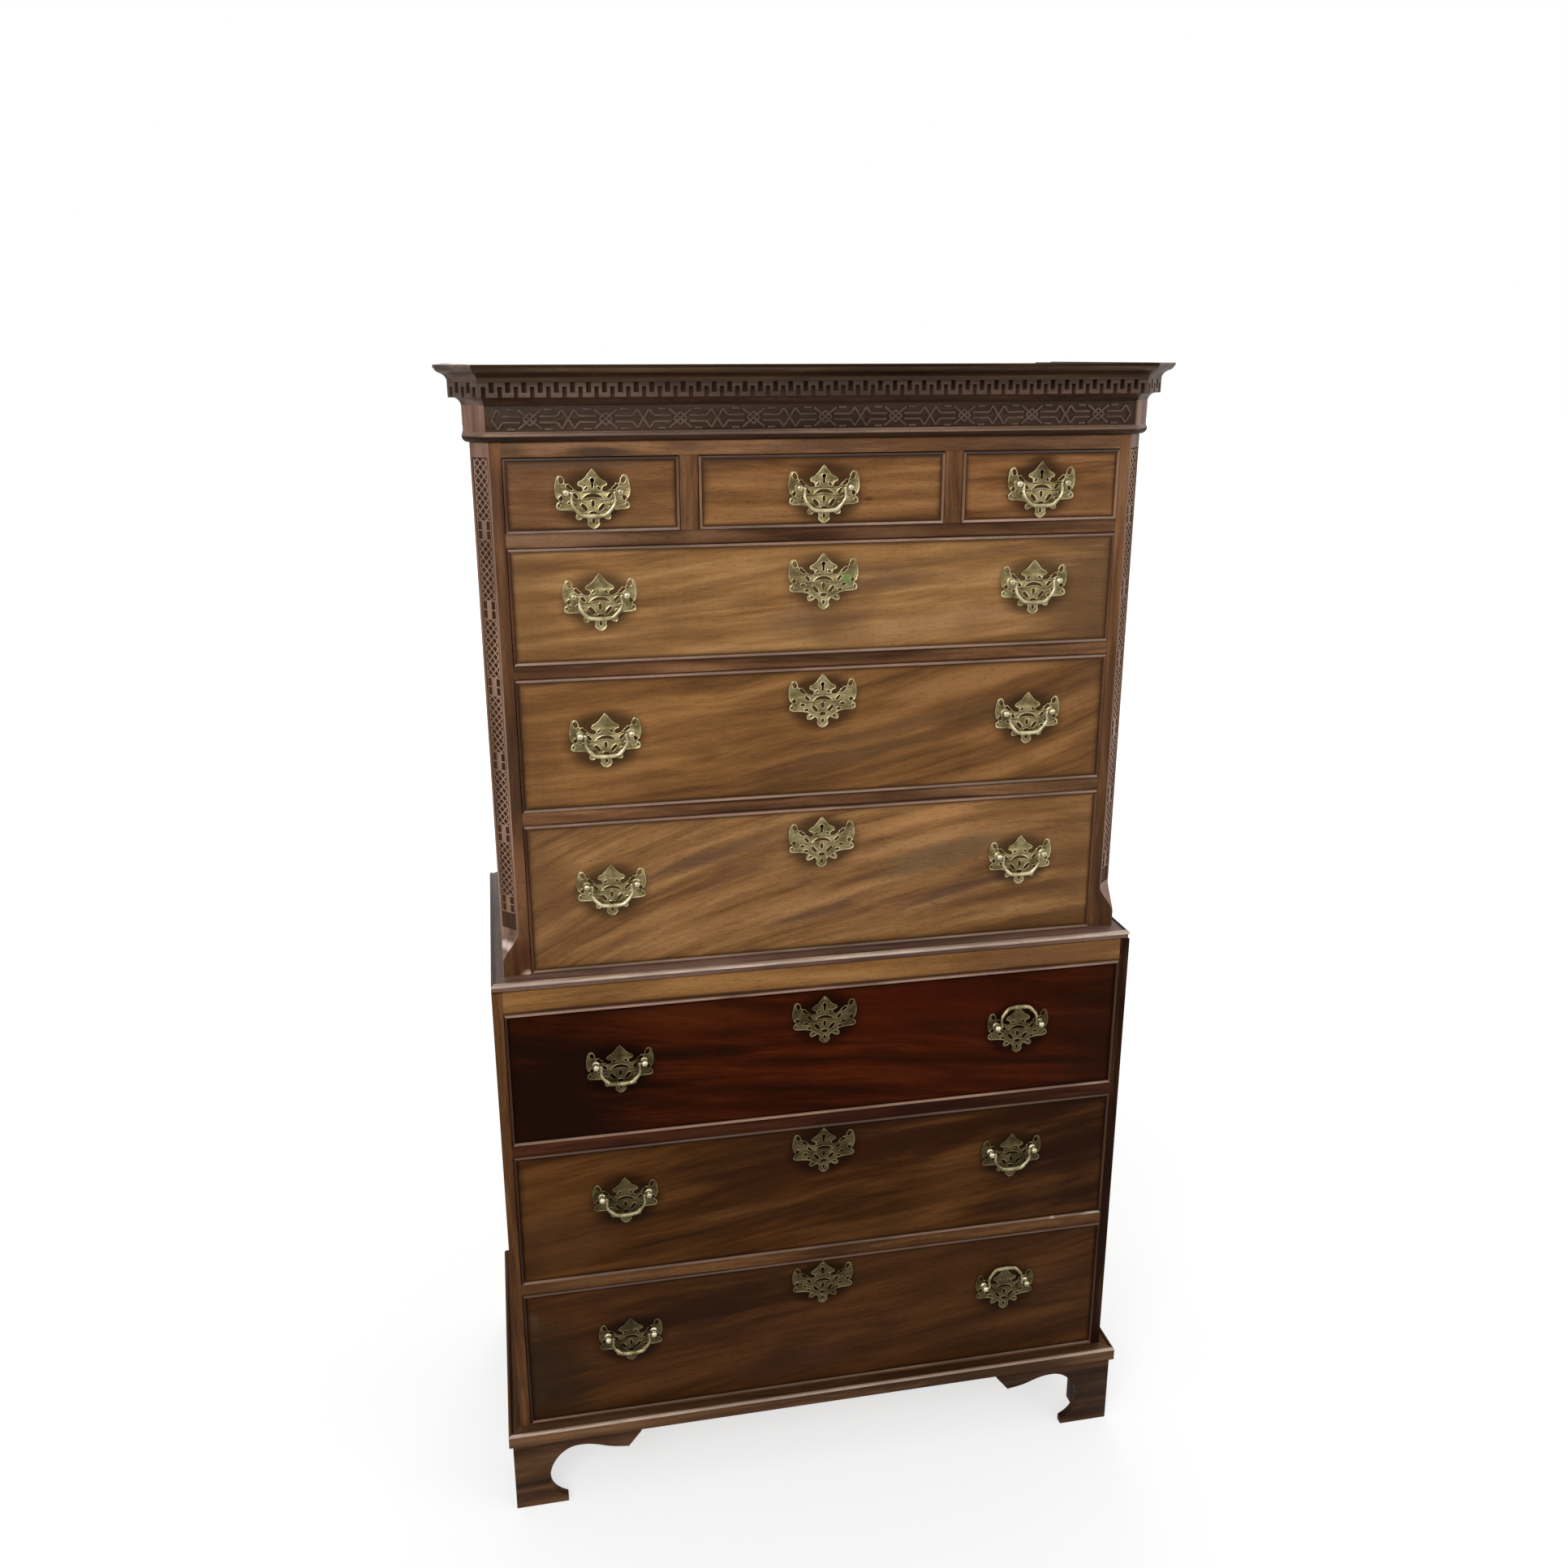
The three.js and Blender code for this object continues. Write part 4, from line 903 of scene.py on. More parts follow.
for label, (low, high) in drawers.items():
    front, back, floor = low.y + bead_proud, high.y, low.z + bottom_lift
    box = bmesh.new()
    for outer in (low.x, high.x - side_thick):
        side = board_from_curves([side_path(front, back, low.z, high.z - side_drop)],
                                 side_thick, 0.4)
        add_turned(box, side, moved(outer, 0, 0) @ turned_about("Z", math.pi / 2))
        side.free()
    for face in box.faces:
        face.material_index = 1
    inner_low, inner_high = low.x + side_thick, high.x - side_thick
    add_board(box, (inner_low, back - side_thick, floor), (inner_high, back, high.z - back_drop))
    half = (front + front_thick + back - side_thick) / 2
    for y_low, y_high in ((front + front_thick, half - 0.3), (half + 0.3, back)):
        add_board(box, (inner_low, y_low, floor), (inner_high, y_high, floor + bottom_thick),
                  edge=0.5)
    make_piece("box_" + label, box, [box_oak, box_side_oak], "drawer_" + label)
print("boxes behind the fronts:", len(drawers))

# %% [markdown]
# ## Old brass
# Cast brass that has not been polished for years is a dull yellow-green on its flats, bright
# where hands rub it and brown in its corners. One recipe makes the raised edges, the sunk
# flats, the knobs and the bails, and dimmer ones for the lower case. It can also lay a stain of
# soot or verdigris on a plate.

# %% Brass
def brass(name, dull, bright, gloss=0.34, stain=None):
    """Tarnished brass. stain is (x, z, radius, colour, share): verdigris or soot."""
    dull, bright = paint(*dull), paint(*bright)
    finish = Finish(name, {"Metallic": 1.0})
    place = finish.object_place()
    cloud = finish.noise(place, (60, 60, 60), detail=5, roughness=0.6)
    grain = finish.noise(place, (900, 900, 900), detail=2)
    colour = finish.mixed(finish.rise(cloud, 0.36, 0.62), dull, bright)
    colour = finish.mixed(finish.rise(grain, 0.58, 0.74) * 0.5, colour, darker(dull, 0.4))
    if stain is not None:
        x_stain, z_stain, radius, tint, share = stain
        x, _, z = finish.axes(place)
        away = reach(x, z, x_stain, z_stain, radius, radius)
        near = 1 - finish.rise(away + (cloud - 0.5), 0.2, 1.2)
        colour = finish.mixed(near * share, colour, paint(*tint))
    return finish.shade(Base_Color=colour, Roughness=cloud * 0.3 + (gloss - 0.15),
                        Normal=finish.bump(grain + cloud, 0.2, 0.0006))


edge_brass = (148, 133, 94), (204, 191, 150)
flat_brass = (116, 103, 67), (160, 145, 104)
brass_edge = brass("brass_edge", *edge_brass, gloss=0.3)
brass_flat = brass("brass_flat", *flat_brass, gloss=0.42)
brass_bail = brass("brass_bail", (160, 148, 108), (218, 207, 168), gloss=0.28)
brass_knob = brass("brass_knob", (178, 167, 128), (228, 220, 186), gloss=0.28)
dim_edge = brass("dim_edge", (92, 81, 53), (142, 130, 96), gloss=0.36)
dim_flat = brass("dim_flat", (66, 58, 36), (100, 88, 58), gloss=0.46)
dim_bail = brass("dim_bail", (110, 100, 68), (176, 164, 126), gloss=0.34)
print("brass:", brass_edge.name, brass_flat.name, brass_bail.name)

# %% [markdown]
# ## Pierced plates
# The backplates are castings in a chinoiserie outline, pierced with small openings. A flat
# curve with holes fills itself, so half of the outline and of the openings is given as points
# and mirrored. An inset of the front face leaves a bright rim round a sunk, darker field.

# %% Plate outlines
half_outline = [
    (6, 7, "smooth"), (12, 14, "smooth"), (19, 18, "corner"), (21, 22, "smooth"),
    (15, 25.5, "corner"), (14, 31, "smooth"), (22, 31, "corner"), (28, 26, "smooth"),
    (33, 20, "corner"), (37, 20.5, "smooth"), (40, 13, "smooth"), (44, 8.5, "smooth"),
    (49, 10, "corner"), (51.5, 17, "smooth"), (51, 40, "smooth"), (46, 44, "corner"),
    (51.5, 49, "smooth"), (51, 54.5, "smooth"), (46, 57, "corner"), (27, 58.5, "smooth"),
    (21, 61, "corner"), (25, 66, "smooth"), (22.5, 71, "smooth"), (17, 70, "smooth"),
    (11.5, 66.5, "corner"), (8, 71, "smooth"), (9, 77, "corner"), (4.5, 82, "smooth"),
]
middle_holes = [(0, 48.5, 1.9, 4), (0, 62, 4.4, 2.2), (0, 73, 1.8, 2.8)]
side_holes = [
    (43.5, 16, 2.8, 4.2, -0.4), (47.6, 50.5, 1.2, 2.2, 0), (32, 25.8, 4.8, 1.9, 0.6),
    (25, 55, 2.8, 1.6, 0), (18, 65.3, 1.8, 1.7, 0), (12.2, 53.8, 2.2, 5.2, -0.7),
    (24, 37.5, 1.9, 4, -0.7), (44.5, 41, 2.4, 3.2, 0.3), (31, 47, 3.2, 1.6, 0),
    (9, 27.5, 2.6, 1.3, -0.8),
]
plate_thick, plate_edge, rim_width, field_depth = 1.9, 0.35, 0.8, 0.4
hole_growth, plate_drop = 1.2, 84


def both_halves(path):
    """A whole outline from its right half, from crest to foot, with z upwards."""
    right = [(x, -drop, kind) for x, drop, kind in path]
    left = [(-x, z, kind) for x, z, kind in reversed(right)]
    return [(0, 0, "corner"), *right, (0, -plate_drop, "corner"), *left]


def hole(x, drop, wide, high, lean=0.0):
    """A four-pointed opening about a middle, leaned to one side."""
    wide, high = wide * hole_growth, high * hole_growth
    return rounded(*((x + across * math.cos(lean) - up * math.sin(lean),
                      -drop + across * math.sin(lean) + up * math.cos(lean))
                     for across, up in ((0, high), (wide, 0), (0, -high), (-wide, 0))))


def plate_holes(with_keyhole):
    arch = [*corners((-15, -41.5)), *rounded((-8, -36.2), (0, -34.4), (8, -36.2)),
            *corners((15, -41.5)), *rounded((7, -40.2), (0, -39.4), (-7, -40.2))]
    holes = [arch, *(hole(*opening) for opening in middle_holes)]
    for sign in (-1, 1):
        holes += [hole(sign * x, drop, wide, high, sign * lean)
                  for x, drop, wide, high, lean in side_holes]
    return [*holes, keyhole_path(0, -key_drop)] if with_keyhole else holes


def add_rim(bm, width, depth):
    """Sinks the front face inside a rim, and gives the sunk field the second material."""
    bm.normal_update()
    face_y = min(vert.co.y for vert in bm.verts)
    flat = [face for face in bm.faces
            if face.normal.y < -0.9 and face.calc_center_median().y < face_y + 0.05]
    bmesh.ops.inset_region(bm, faces=flat, thickness=width, depth=0, use_boundary=True,
                           use_even_offset=False)
    for face in flat:
        face.material_index = 1
    sunk = list({vert for face in flat for vert in face.verts})
    bmesh.ops.translate(bm, vec=(0, depth, 0), verts=sunk)


plate_shapes = {}
for kind, with_keyhole in (("handle", False), ("keyhole", True)):
    plate = board_from_curves([both_halves(half_outline), *plate_holes(with_keyhole)],
                              plate_thick, plate_edge, resolution=3)
    add_rim(plate, rim_width, field_depth)
    plate_shapes[kind] = plate
print({kind: len(plate.faces) for kind, plate in plate_shapes.items()})

# %% [markdown]
# ## Posts, knobs and bails
# Two posts hold each plate and go through the drawer front to a nut inside. A post ends in a
# turned knob, a profile spun round its axis. The bail is a bent rod that thickens towards the
# grip, and a curve with a radius at each point is the shortest way to say that.

# %% Posts and knobs
post_spread, pivot_drop, pivot_inset, post_reach = 38, 32, 8, 7.6
knob_profile = [(0, 7.4), (1.4, 7.2), (1.9, 6.4), (1.5, 5.8), (3.4, 5.2), (4.9, 3.9), (5.3, 2.4),
                (4.6, 0.7), (2.9, -0.6), (2.6, -1.2), (3.6, -1.8), (3.7, -5.4), (4.4, -6.4),
                (5.8, -7.2), (6.0, -8.2), (0, -8.2)]
pin_profile = [(0, 0.9), (0.9, 0.6), (1.2, 0)]


def spun(bm, profile, centre, steps=20):
    """A profile of (radius, distance towards the viewer) spun round an axis along Y."""
    centre = Vector(centre)
    chain = [bm.verts.new(centre + Vector((radius, -forward, 0))) for radius, forward in profile]
    sides = [bm.edges.new(pair) for pair in zip(chain, chain[1:])]
    bmesh.ops.spin(bm, geom=[*chain, *sides], cent=centre, axis=(0, 1, 0), dvec=(0, 0, 0),
                   angle=2 * math.pi, steps=steps, use_merge=True)
    bmesh.ops.remove_doubles(bm, verts=bm.verts, dist=0.001)


def plate_at(kind, x, front, crest):
    plate = plate_shapes[kind].copy()
    carry(plate, moved(x, front - 0.2, crest))
    return plate


def plate_metals(label, x, crest):
    """Rim and field of a plate: dim on the lower case, sooty on one and green on another."""
    if label.startswith("lower"):
        return [dim_edge, dim_flat]
    stains = {"short_right": (x, crest - 12, 18, (60, 42, 26), 0.7),
              "upper_top": (x + 35, crest - 41, 11, (112, 146, 76), 0.7)}
    if label not in stains:
        return [brass_edge, brass_flat]
    return [brass("edge_" + label, *edge_brass, gloss=0.34, stain=stains[label]),
            brass("field_" + label, *flat_brass, gloss=0.42, stain=stains[label])]


for node, label in named("plate_"):
    low, high = box_of(node)
    x, crest, pivot_y = (low.x + high.x) / 2, high.z, low.y + pivot_inset
    front = pivot_y + post_reach + plate_thick
    short = label.startswith("short")
    body = "drawer_" + (label if short else label.rsplit("_", 1)[0])
    posts, nuts = bmesh.new(), bmesh.new()
    for sign in (-1, 1):
        post_x, post_z = x + sign * post_spread, crest - pivot_drop
        spun(posts, knob_profile, (post_x, pivot_y, post_z))
        for radius, length, sides, depth in ((6, 3, 6, 1.5), (1.8, 8, 12, 4)):
            add_peg(nuts, (post_x, front + front_thick + depth, post_z),
                    radius, radius * 0.94, length, sides)
    plate = plate_at("keyhole" if short else "handle", x, front, crest)
    metals = plate_metals(label, x, crest)
    make_piece("backplate_" + label, plate, metals, body, replaces=[node], crease=40)
    make_piece("posts_" + label, posts, [brass_knob], body, crease=50)
    make_piece("nuts_" + label, nuts, [brass_flat], body)

for node, label in named("escutcheon_"):
    low, high = box_of(node)
    x, crest, body = (low.x + high.x) / 2, high.z, "drawer_" + label
    pins = bmesh.new()
    for dx, drop in ((-44, 37), (44, 37), (0, 79), (0, 5)):
        spun(pins, pin_profile, (x + dx, high.y - plate_thick + 0.5, crest - drop), steps=10)
    plate = plate_at("keyhole", x, high.y + 0.3, crest)
    metals = plate_metals(label, x, crest)
    make_piece("keyplate_" + label, plate, metals, body, replaces=[node], crease=40)
    make_piece("keyplate_pins_" + label, pins, [brass_edge], body)
print("plates fixed")

# %% Bails
half_bail = [(37.2, 0, 1.2), (33, 0, 1.2), (30.4, -0.6, 2.2), (30, -4, 2.1), (30.4, -9, 2.0),
             (30.5, -14, 2.3), (27.6, -20.5, 2.7), (22.4, -26.6, 3.1), (17.6, -31, 3.3),
             (10, -32.6, 3.4)]
grip_radius, grip_drop, flattened = 3.45, 33, 0.84


def bail_solid():
    data = bpy.data.curves.new("bail", "CURVE")
    data.dimensions = "3D"
    data.bevel_depth = 1
    data.bevel_resolution = 2
    data.resolution_u = 4
    data.use_fill_caps = True
    path = [*half_bail, (0, -grip_drop, grip_radius),
            *((-x, z, radius) for x, z, radius in reversed(half_bail))]
    spline = data.splines.new("BEZIER")
    spline.bezier_points.add(len(path) - 1)
    for point, (x, z, radius) in zip(spline.bezier_points, path):
        point.co = (x, 0, z)
        point.radius = radius
        point.handle_left_type = point.handle_right_type = "AUTO"
    solid = drawn_solid(data)
    carry(solid, Matrix.Diagonal((1, flattened, 1, 1)))
    return solid


bail_shape = bail_solid()
lean_back = math.asin((post_reach - grip_radius * flattened - 0.2) / grip_drop)
for node, label in named("bail_"):
    low, high = box_of("plate_" + label)
    pivot = Vector(((low.x + high.x) / 2, low.y + pivot_inset, high.z - pivot_drop))
    turned_up = box_of(node)[1].z > pivot.z + 20
    bail = bail_shape.copy()
    carry(bail, moved(*pivot) @ turned_about("X", -math.pi - lean_back if turned_up else 0))
    metal = dim_bail if label.startswith("lower") else brass_bail
    make_piece("swing_" + label, bail, [metal], node, replaces=[node], crease=50)
print("bails hung")

# %% [markdown]
# ## Mouldings
# A moulding is one section carried round the case. At a mitred corner each point of the
# section moves out along the mitre by its own distance from the case. The points are extruded
# edge by edge from station to station, and closed at both ends. The grain follows the strip,
# so the side runs get their own material.

# %% Carrying a section round a case
mitre_45 = math.tan(math.pi / 8)


def stations_round(half, front, cut=0):
    """Corners of the plan from the left of the back to the right of the back, with mitres."""
    if cut:
        left = [((-half, front + cut), (-1, -mitre_45)), ((-half + cut, front), (-mitre_45, -1))]
    else:
        left = [((-half, front), (-1, -1))]
    left = [((-half, back_y), (-1, 0)), *left]
    return left + [((-x, y), (-out_x, out_y)) for (x, y), (out_x, out_y) in reversed(left)]


def moulded(section, stations, highlit=(), canted=0):
    """A section of (distance in front of the case, height) carried round its stations. The
    sides of the section numbered in the third argument get the third finish along the front,
    a painted highlight where light catches the arris, and canted is the number of the finish
    on the canted corners."""
    bm = bmesh.new()

    def at(station, out, z):
        (x, y), (mitre_x, mitre_y) = station
        return (x + mitre_x * out, y + mitre_y * out, z)

    ring = [bm.verts.new(at(stations[0], *point)) for point in section]
    bm.faces.new(ring)
    for before, after in zip(stations, stations[1:]):
        pairs = zip(ring, ring[1:] + ring[:1])
        sides = [bm.edges.get(pair) or bm.edges.new(pair) for pair in pairs]
        made = bmesh.ops.extrude_edge_only(bm, edges=sides)["geom"]
        fresh = {tuple(vert.co): vert for vert in made if isinstance(vert, bmesh.types.BMVert)}
        across, back = (abs(before[0][axis] - after[0][axis]) for axis in (0, 1))
        run = 1 if across < 1 else canted if back > 1 else 0
        for face in (part for part in made if isinstance(part, bmesh.types.BMFace)):
            side = min(ring.index(vert) for vert in face.verts if vert in ring)
            face.material_index = 2 if side in highlit and run == 0 else run
        ring = [fresh[tuple(vert.co)] for vert in ring]
        for vert, point in zip(ring, section):
            vert.co = at(after, *point)
    bm.faces.new(ring)
    return bm


def bent(start, middle, end, steps=6):
    """Points of a curve from start to end that leans towards middle, without its start."""
    points = []
    for step in range(1, steps + 1):
        t = step / steps
        points.append(tuple((1 - t) ** 2 * a + 2 * t * (1 - t) * b + t * t * c
                            for a, b, c in zip(start, middle, end)))
    return points


def moulding_woods(name, colours, **marks):
    return [wood(name, colours, **marks), wood(name + "_side", colours, grain=along_y, **marks)]


# The third finish of the base and waist mouldings is a near-white painted highlight along the
# arris of the nose.
highlight_colours = ((148, 120, 100), (208, 182, 162), (236, 214, 196))
arris_highlight_wood = wood("arris_highlight_wood", highlight_colours, figure=0.4, figured_with=(112, 86, 66), seed=9.5,
                   gleam=0.9, gloss=0.32, grime=0.3, patches=[
                       (330, 962, 260, 40, (158, 130, 108), 0.6),
                       (-60, 150, 160, 30, (150, 120, 98), 0.5),
                       (330, 150, 300, 30, (128, 98, 76), 0.75)])
canted_wood = wood("canted_wood", ((62, 47, 38), (90, 71, 60), (118, 97, 84)),
                   figure=0.3, seed=9.3, gleam=0.3)
# The lighter cornice finish is painted light on the faces that catch it: the fillet above the
# dentils and the upper curve.
cornice_lit_wood = wood("cornice_lit_wood", ((46, 32, 19), (70, 51, 34), (94, 72, 52)),
                     figure=0.3, seed=9.2, gleam=0.15)
waist_ends = [(sign * x, 962, wide, 60, tone, 0.9) for sign in (-1, 1)
              for x, wide, tone in ((518.5, 4, (68, 57, 48)), (513.5, 2, (44, 29, 20)))]
waist_woods = [
    wood("waist_wood", ((78, 54, 44), (112, 83, 70), (140, 110, 96)), figure=0.3, seed=9.9,
         dirt=0.5, gleam=0.2),
    wood("waist_wood_side", (94, 72, 62), figure=0.3, seed=9.9, dirt=0.4, gleam=0.2,
         grain=along_y, patches=waist_ends), arris_highlight_wood]
# The upper half of the astragal's nose takes a painted highlight; the rest of the strip takes the
# darker astragal finish.
astragal_highlight = wood("astragal_highlight", ((80, 58, 44), (118, 90, 70), (148, 118, 96)),
                      figure=0.3, seed=9.6, gleam=0.5, gloss=0.36, grime=0.3,
                      patches=[(330, 1778, 260, 20, (108, 78, 56), 0.7)])
bead_woods = moulding_woods("astragal_wood", ((34, 21, 13), (52, 33, 21), (74, 50, 34)),
                            figure=0.2, seed=9.7) + [astragal_highlight]
# A dark line of painted shade runs along the outer edge of each side run of the base moulding.
base_ends = [(sign * 535, 142, 2.6, 60, (26, 14, 7), 0.95) for sign in (-1, 1)]
base_woods = [
    wood("base_wood", ((56, 35, 20), (88, 60, 38), (120, 86, 58)), figure=0.4, seed=10.3,
         dirt=0.5, gleam=0.1, patches=[(330, 142, 330, 60, (58, 37, 20), 0.9)]),
    wood("base_wood_side", (92, 61, 37), figure=0.3, seed=10.3, dirt=0.2, gleam=0.02,
         grain=along_y, patches=base_ends), arris_highlight_wood]

# %% Base and waist mouldings
base_low, base_high = box_of("base_moulding")
base_out = base_high.x - lower_half
base = [(0.2, base_low.z), (base_out - 1, base_low.z), (base_out, base_low.z + 1)]
base += [(base_out, base_high.z - 4.6)]
base += bent(base[-1], (base_out, base_high.z - 0.9), (base_out - 4.2, base_high.z - 0.8))
base += [(3, base_high.z - 0.2), (0.2, base_high.z)]
# The rounded nose of the base moulding gets the painted highlight.
base_piece = moulded(base, stations_round(lower_half, lower_front), highlit=range(3, 9))
make_piece("base_moulding_strip", base_piece, base_woods,
           replaces=["base_moulding"], crease=40)

waist_low, waist_high = box_of("waist_moulding")
setback = upper_front - lower_front


def waist_section(out):
    low, top = waist_low.z, waist_high.z
    section = [(0.2, low), (out - 3.4, low), (out - 2.6, low + 0.6), (out - 2.6, top - 7.6)]
    section += bent(section[-1], (out - 0.6, top - 8.4), (out - 0.1, top - 6), steps=3)
    section += bent(section[-1], (out - 0.3, top - 2.4), (out - 6.6, top - 1.8), steps=5)
    section += [(out - 7.2, top - 3.4), (out - 9, top - 3.4)]
    return section + bent(section[-1], (out / 2, top - 2.2), (0.2, top), steps=3)


def waist_run():
    """The waist moulding reaches further at the front than at the sides."""
    scale = (lower_half - upper_half) / setback
    return [(place, (out_x * scale, out_y))
            for place, (out_x, out_y) in stations_round(upper_half, upper_front)]


# The nose of the waist moulding gets the painted highlight.
waist_piece = moulded(waist_section(setback), waist_run(), highlit=range(5, 11))
make_piece("waist_moulding_strip", waist_piece, waist_woods,
           replaces=["waist_moulding"], crease=40)
print("waist", round(waist_high.z - waist_low.z, 1), "high, reaching", round(setback, 1))

# %% Frieze
astragal_high, frieze_lap = 15, 6
astragal_top, frieze_top = frieze_low.z + astragal_high, frieze_high.z - frieze_lap
round_case = stations_round(upper_half, upper_front, cant)
frieze = [(0.2, frieze_low.z), (2.5, frieze_low.z + 0.2)]
frieze += bent(frieze[-1], (7.5, frieze_low.z + 1), (9.6, frieze_low.z + 7))
frieze += bent(frieze[-1], (10.4, frieze_low.z + 11), (8.0, frieze_low.z + 13))
frieze += [(7.6, astragal_top - 0.6), (5.2, astragal_top), (0.2, astragal_top)]
strip = moulded(frieze, round_case, highlit=range(8, 15))
make_piece("astragal", strip, bead_woods, replaces=["frieze"], crease=40)

ground = bmesh.new()
add_board(ground, (-upper_half + cant - 3, upper_front - 5, astragal_top - 1),
          (upper_half - cant + 3, upper_front - 0.2, frieze_top), edge=0.2)
frieze_wood = wood("frieze_wood", ((47, 32, 22), (62, 44, 32), (79, 58, 44)),
                   figure=0.3, seed=11.7)
make_piece("frieze_ground", ground, [frieze_wood])

plain = [(0.2, astragal_top - 1), (7.6, astragal_top - 1), (7.6, frieze_top), (0.2, frieze_top)]
corner_woods = [corner_wood, wood("frieze_side_wood", case_colours, grain=along_y, seed=12.1)]
for sign, name in hands:
    run = [((sign * -x, y), (sign * -out_x, out_y)) for (x, y), (out_x, out_y) in round_case[:3]]
    block = moulded(plain, run)
    make_piece("frieze_corner_" + name, block, corner_woods, crease=20)
print("frieze from", round(astragal_top, 1), "to", round(frieze_top, 1))

# %% [markdown]
# ## Cornice and dentils
# The cornice is the same kind of moulding with a hollow under its lip. Its dentils are no
# separate teeth: slots from above and below turn one strip into a meander. The strip is drawn
# flat, unit after unit, and only then extruded, so that it is one clean solid.

# %% Cornice
cornice_low, cornice_high = box_of("cornice")
band_low = cornice_low.z + 4
dentil_pitch, dentil_gap, dentil_slot, dentil_high = 21.65, 5.6, 6.4, 20
gap_high, slot_low = 14, 6.5
band_out, tooth_out = 18, 24.5
# The dark cornice finish is painted shade in the cove and under the lip; the faces turned to the
# light take the lighter finish.
cornice_woods = moulding_woods(
    "cornice_wood", ((26, 13, 6), (41, 24, 12), (60, 38, 22)), figure=0.3, seed=9.1, dirt=0.5,
    patches=[(0, band_low + 2, 900, 9, (80, 56, 43), 0.85)]) + [cornice_lit_wood, canted_wood]
# The dentil finish is painted darker along the top of the band, as shade under the cornice.
dentil_woods = moulding_woods(
    "dentil_wood", ((60, 42, 30), (84, 62, 48), (108, 84, 68)), figure=0.3, seed=9.4,
    gleam=0.25, patches=[(0, band_low + 19.5, 900, 4, (46, 28, 18), 0.7)])
top = cornice_high.z
cornice = [(0.2, frieze_top), (7.7, frieze_top)]
cornice += bent(cornice[-1], (9, frieze_top + 7), (15.7, frieze_top + 10))
cornice += [(band_out, frieze_top + 10.2), (band_out, band_low + dentil_high)]
cornice += [(tooth_out, band_low + dentil_high), (tooth_out, band_low + dentil_high + 3)]
cornice += bent(cornice[-1], (26.5, top - 13.5), (33, top - 11), steps=4)
cornice += bent(cornice[-1], (39.5, top - 9), (40.5, top - 4.4), steps=4)
cornice += [(41.6, top - 4), (42, top - 3.4), (42, top - 0.6), (41.4, top), (30, top),
            (30, top - 1), (0.2, top - 1)]
cornice_piece = moulded(cornice, round_case, highlit=(10, 11, *range(15, 20)), canted=3)
make_piece("cornice_strip", cornice_piece, cornice_woods,
           replaces=["cornice"], crease=30)


def dentil_strip(length):
    """A flat meander of the given length in the XZ plane, extruded towards the viewer."""
    bm = bmesh.new()
    count = int((length - dentil_gap) / dentil_pitch)
    margin = (length - count * dentil_pitch) / 2
    gap, slot, high, middle = dentil_gap / 2, dentil_slot / 2, dentil_high, dentil_pitch / 2
    unit = [(0, gap_high), (gap, gap_high), (gap, 0), (dentil_pitch - gap, 0),
            (dentil_pitch - gap, gap_high), (dentil_pitch, gap_high), (dentil_pitch, high),
            (middle + slot, high), (middle + slot, slot_low), (middle - slot, slot_low),
            (middle - slot, high), (0, high)]
    end = [(-margin, 0), (-gap, 0), (-gap, gap_high), (0, gap_high), (0, high), (-margin, high)]
    start = -count * dentil_pitch / 2
    for number in range(count):
        bm.faces.new([bm.verts.new((start + number * dentil_pitch + x, 0, z)) for x, z in unit])
    bm.faces.new([bm.verts.new((start + x, 0, z)) for x, z in end])
    bm.faces.new([bm.verts.new((-start - x, 0, z)) for x, z in reversed(end)])
    bmesh.ops.remove_doubles(bm, verts=bm.verts, dist=0.001)
    raised = bmesh.ops.extrude_face_region(bm, geom=list(bm.faces))["geom"]
    bmesh.ops.translate(bm, vec=(0, band_out - tooth_out, 0),
                        verts=[part for part in raised if isinstance(part, bmesh.types.BMVert)])
    bm.normal_update()
    front = [side for side in bm.edges if all(vert.co.y < -1 for vert in side.verts)
             and side.calc_face_angle(0) > 1]
    bmesh.ops.bevel(bm, geom=front, offset=0.5, affect="EDGES", segments=1, profile=0.5,
                    material=-1)
    return bm


corner_extra = tooth_out * mitre_45
side_run = back_y - upper_front - cant + corner_extra
side_y = (back_y + upper_front + cant - corner_extra) / 2
runs = {"front": (2 * (upper_half - cant) + 2 * corner_extra, (0, upper_front - band_out), 0)}
diagonal = band_out / math.sqrt(2)
for sign, name in reversed(hands):
    runs["side_" + name] = (side_run, (sign * (upper_half + band_out), side_y), sign * 90)
for sign, name in hands:
    middle = (sign * (upper_half - cant / 2 + diagonal), upper_front + cant / 2 - diagonal)
    runs["corner_" + name] = (cant * math.sqrt(2) + 2 * corner_extra, middle, sign * 45)
tooth_wood = {"front": dentil_woods[0], "side": dentil_woods[1], "corner": canted_wood}
for name, (length, (x, y), turn) in runs.items():
    strip = dentil_strip(length)
    carry(strip, moved(x, y, band_low) @ turned_about("Z", math.radians(turn)))
    make_piece("dentils_" + name, strip, [tooth_wood[name.split("_")[0]]],
               crease=20)

top_cover = bmesh.new()
add_span(top_cover, upper_half - 0.5, upper_front + 26, back_y - 0.5, top - 6.6, top - 6)
make_piece("top_boards", top_cover, [inside_wood])
print("dentils:", int((runs["front"][0] - dentil_gap) / dentil_pitch), "on the front")

# %% [markdown]
# ## Frets
# The frets are thin pierced sheets glued on the frieze and in the sunk fields of the corners.
# What is left of such a sheet is a lattice, so it is built from bars. Bars that lean one way
# stand a hair higher than the others, because two faces in one plane would flicker.

# %% Bars and repeats
fret_lift = 0.15


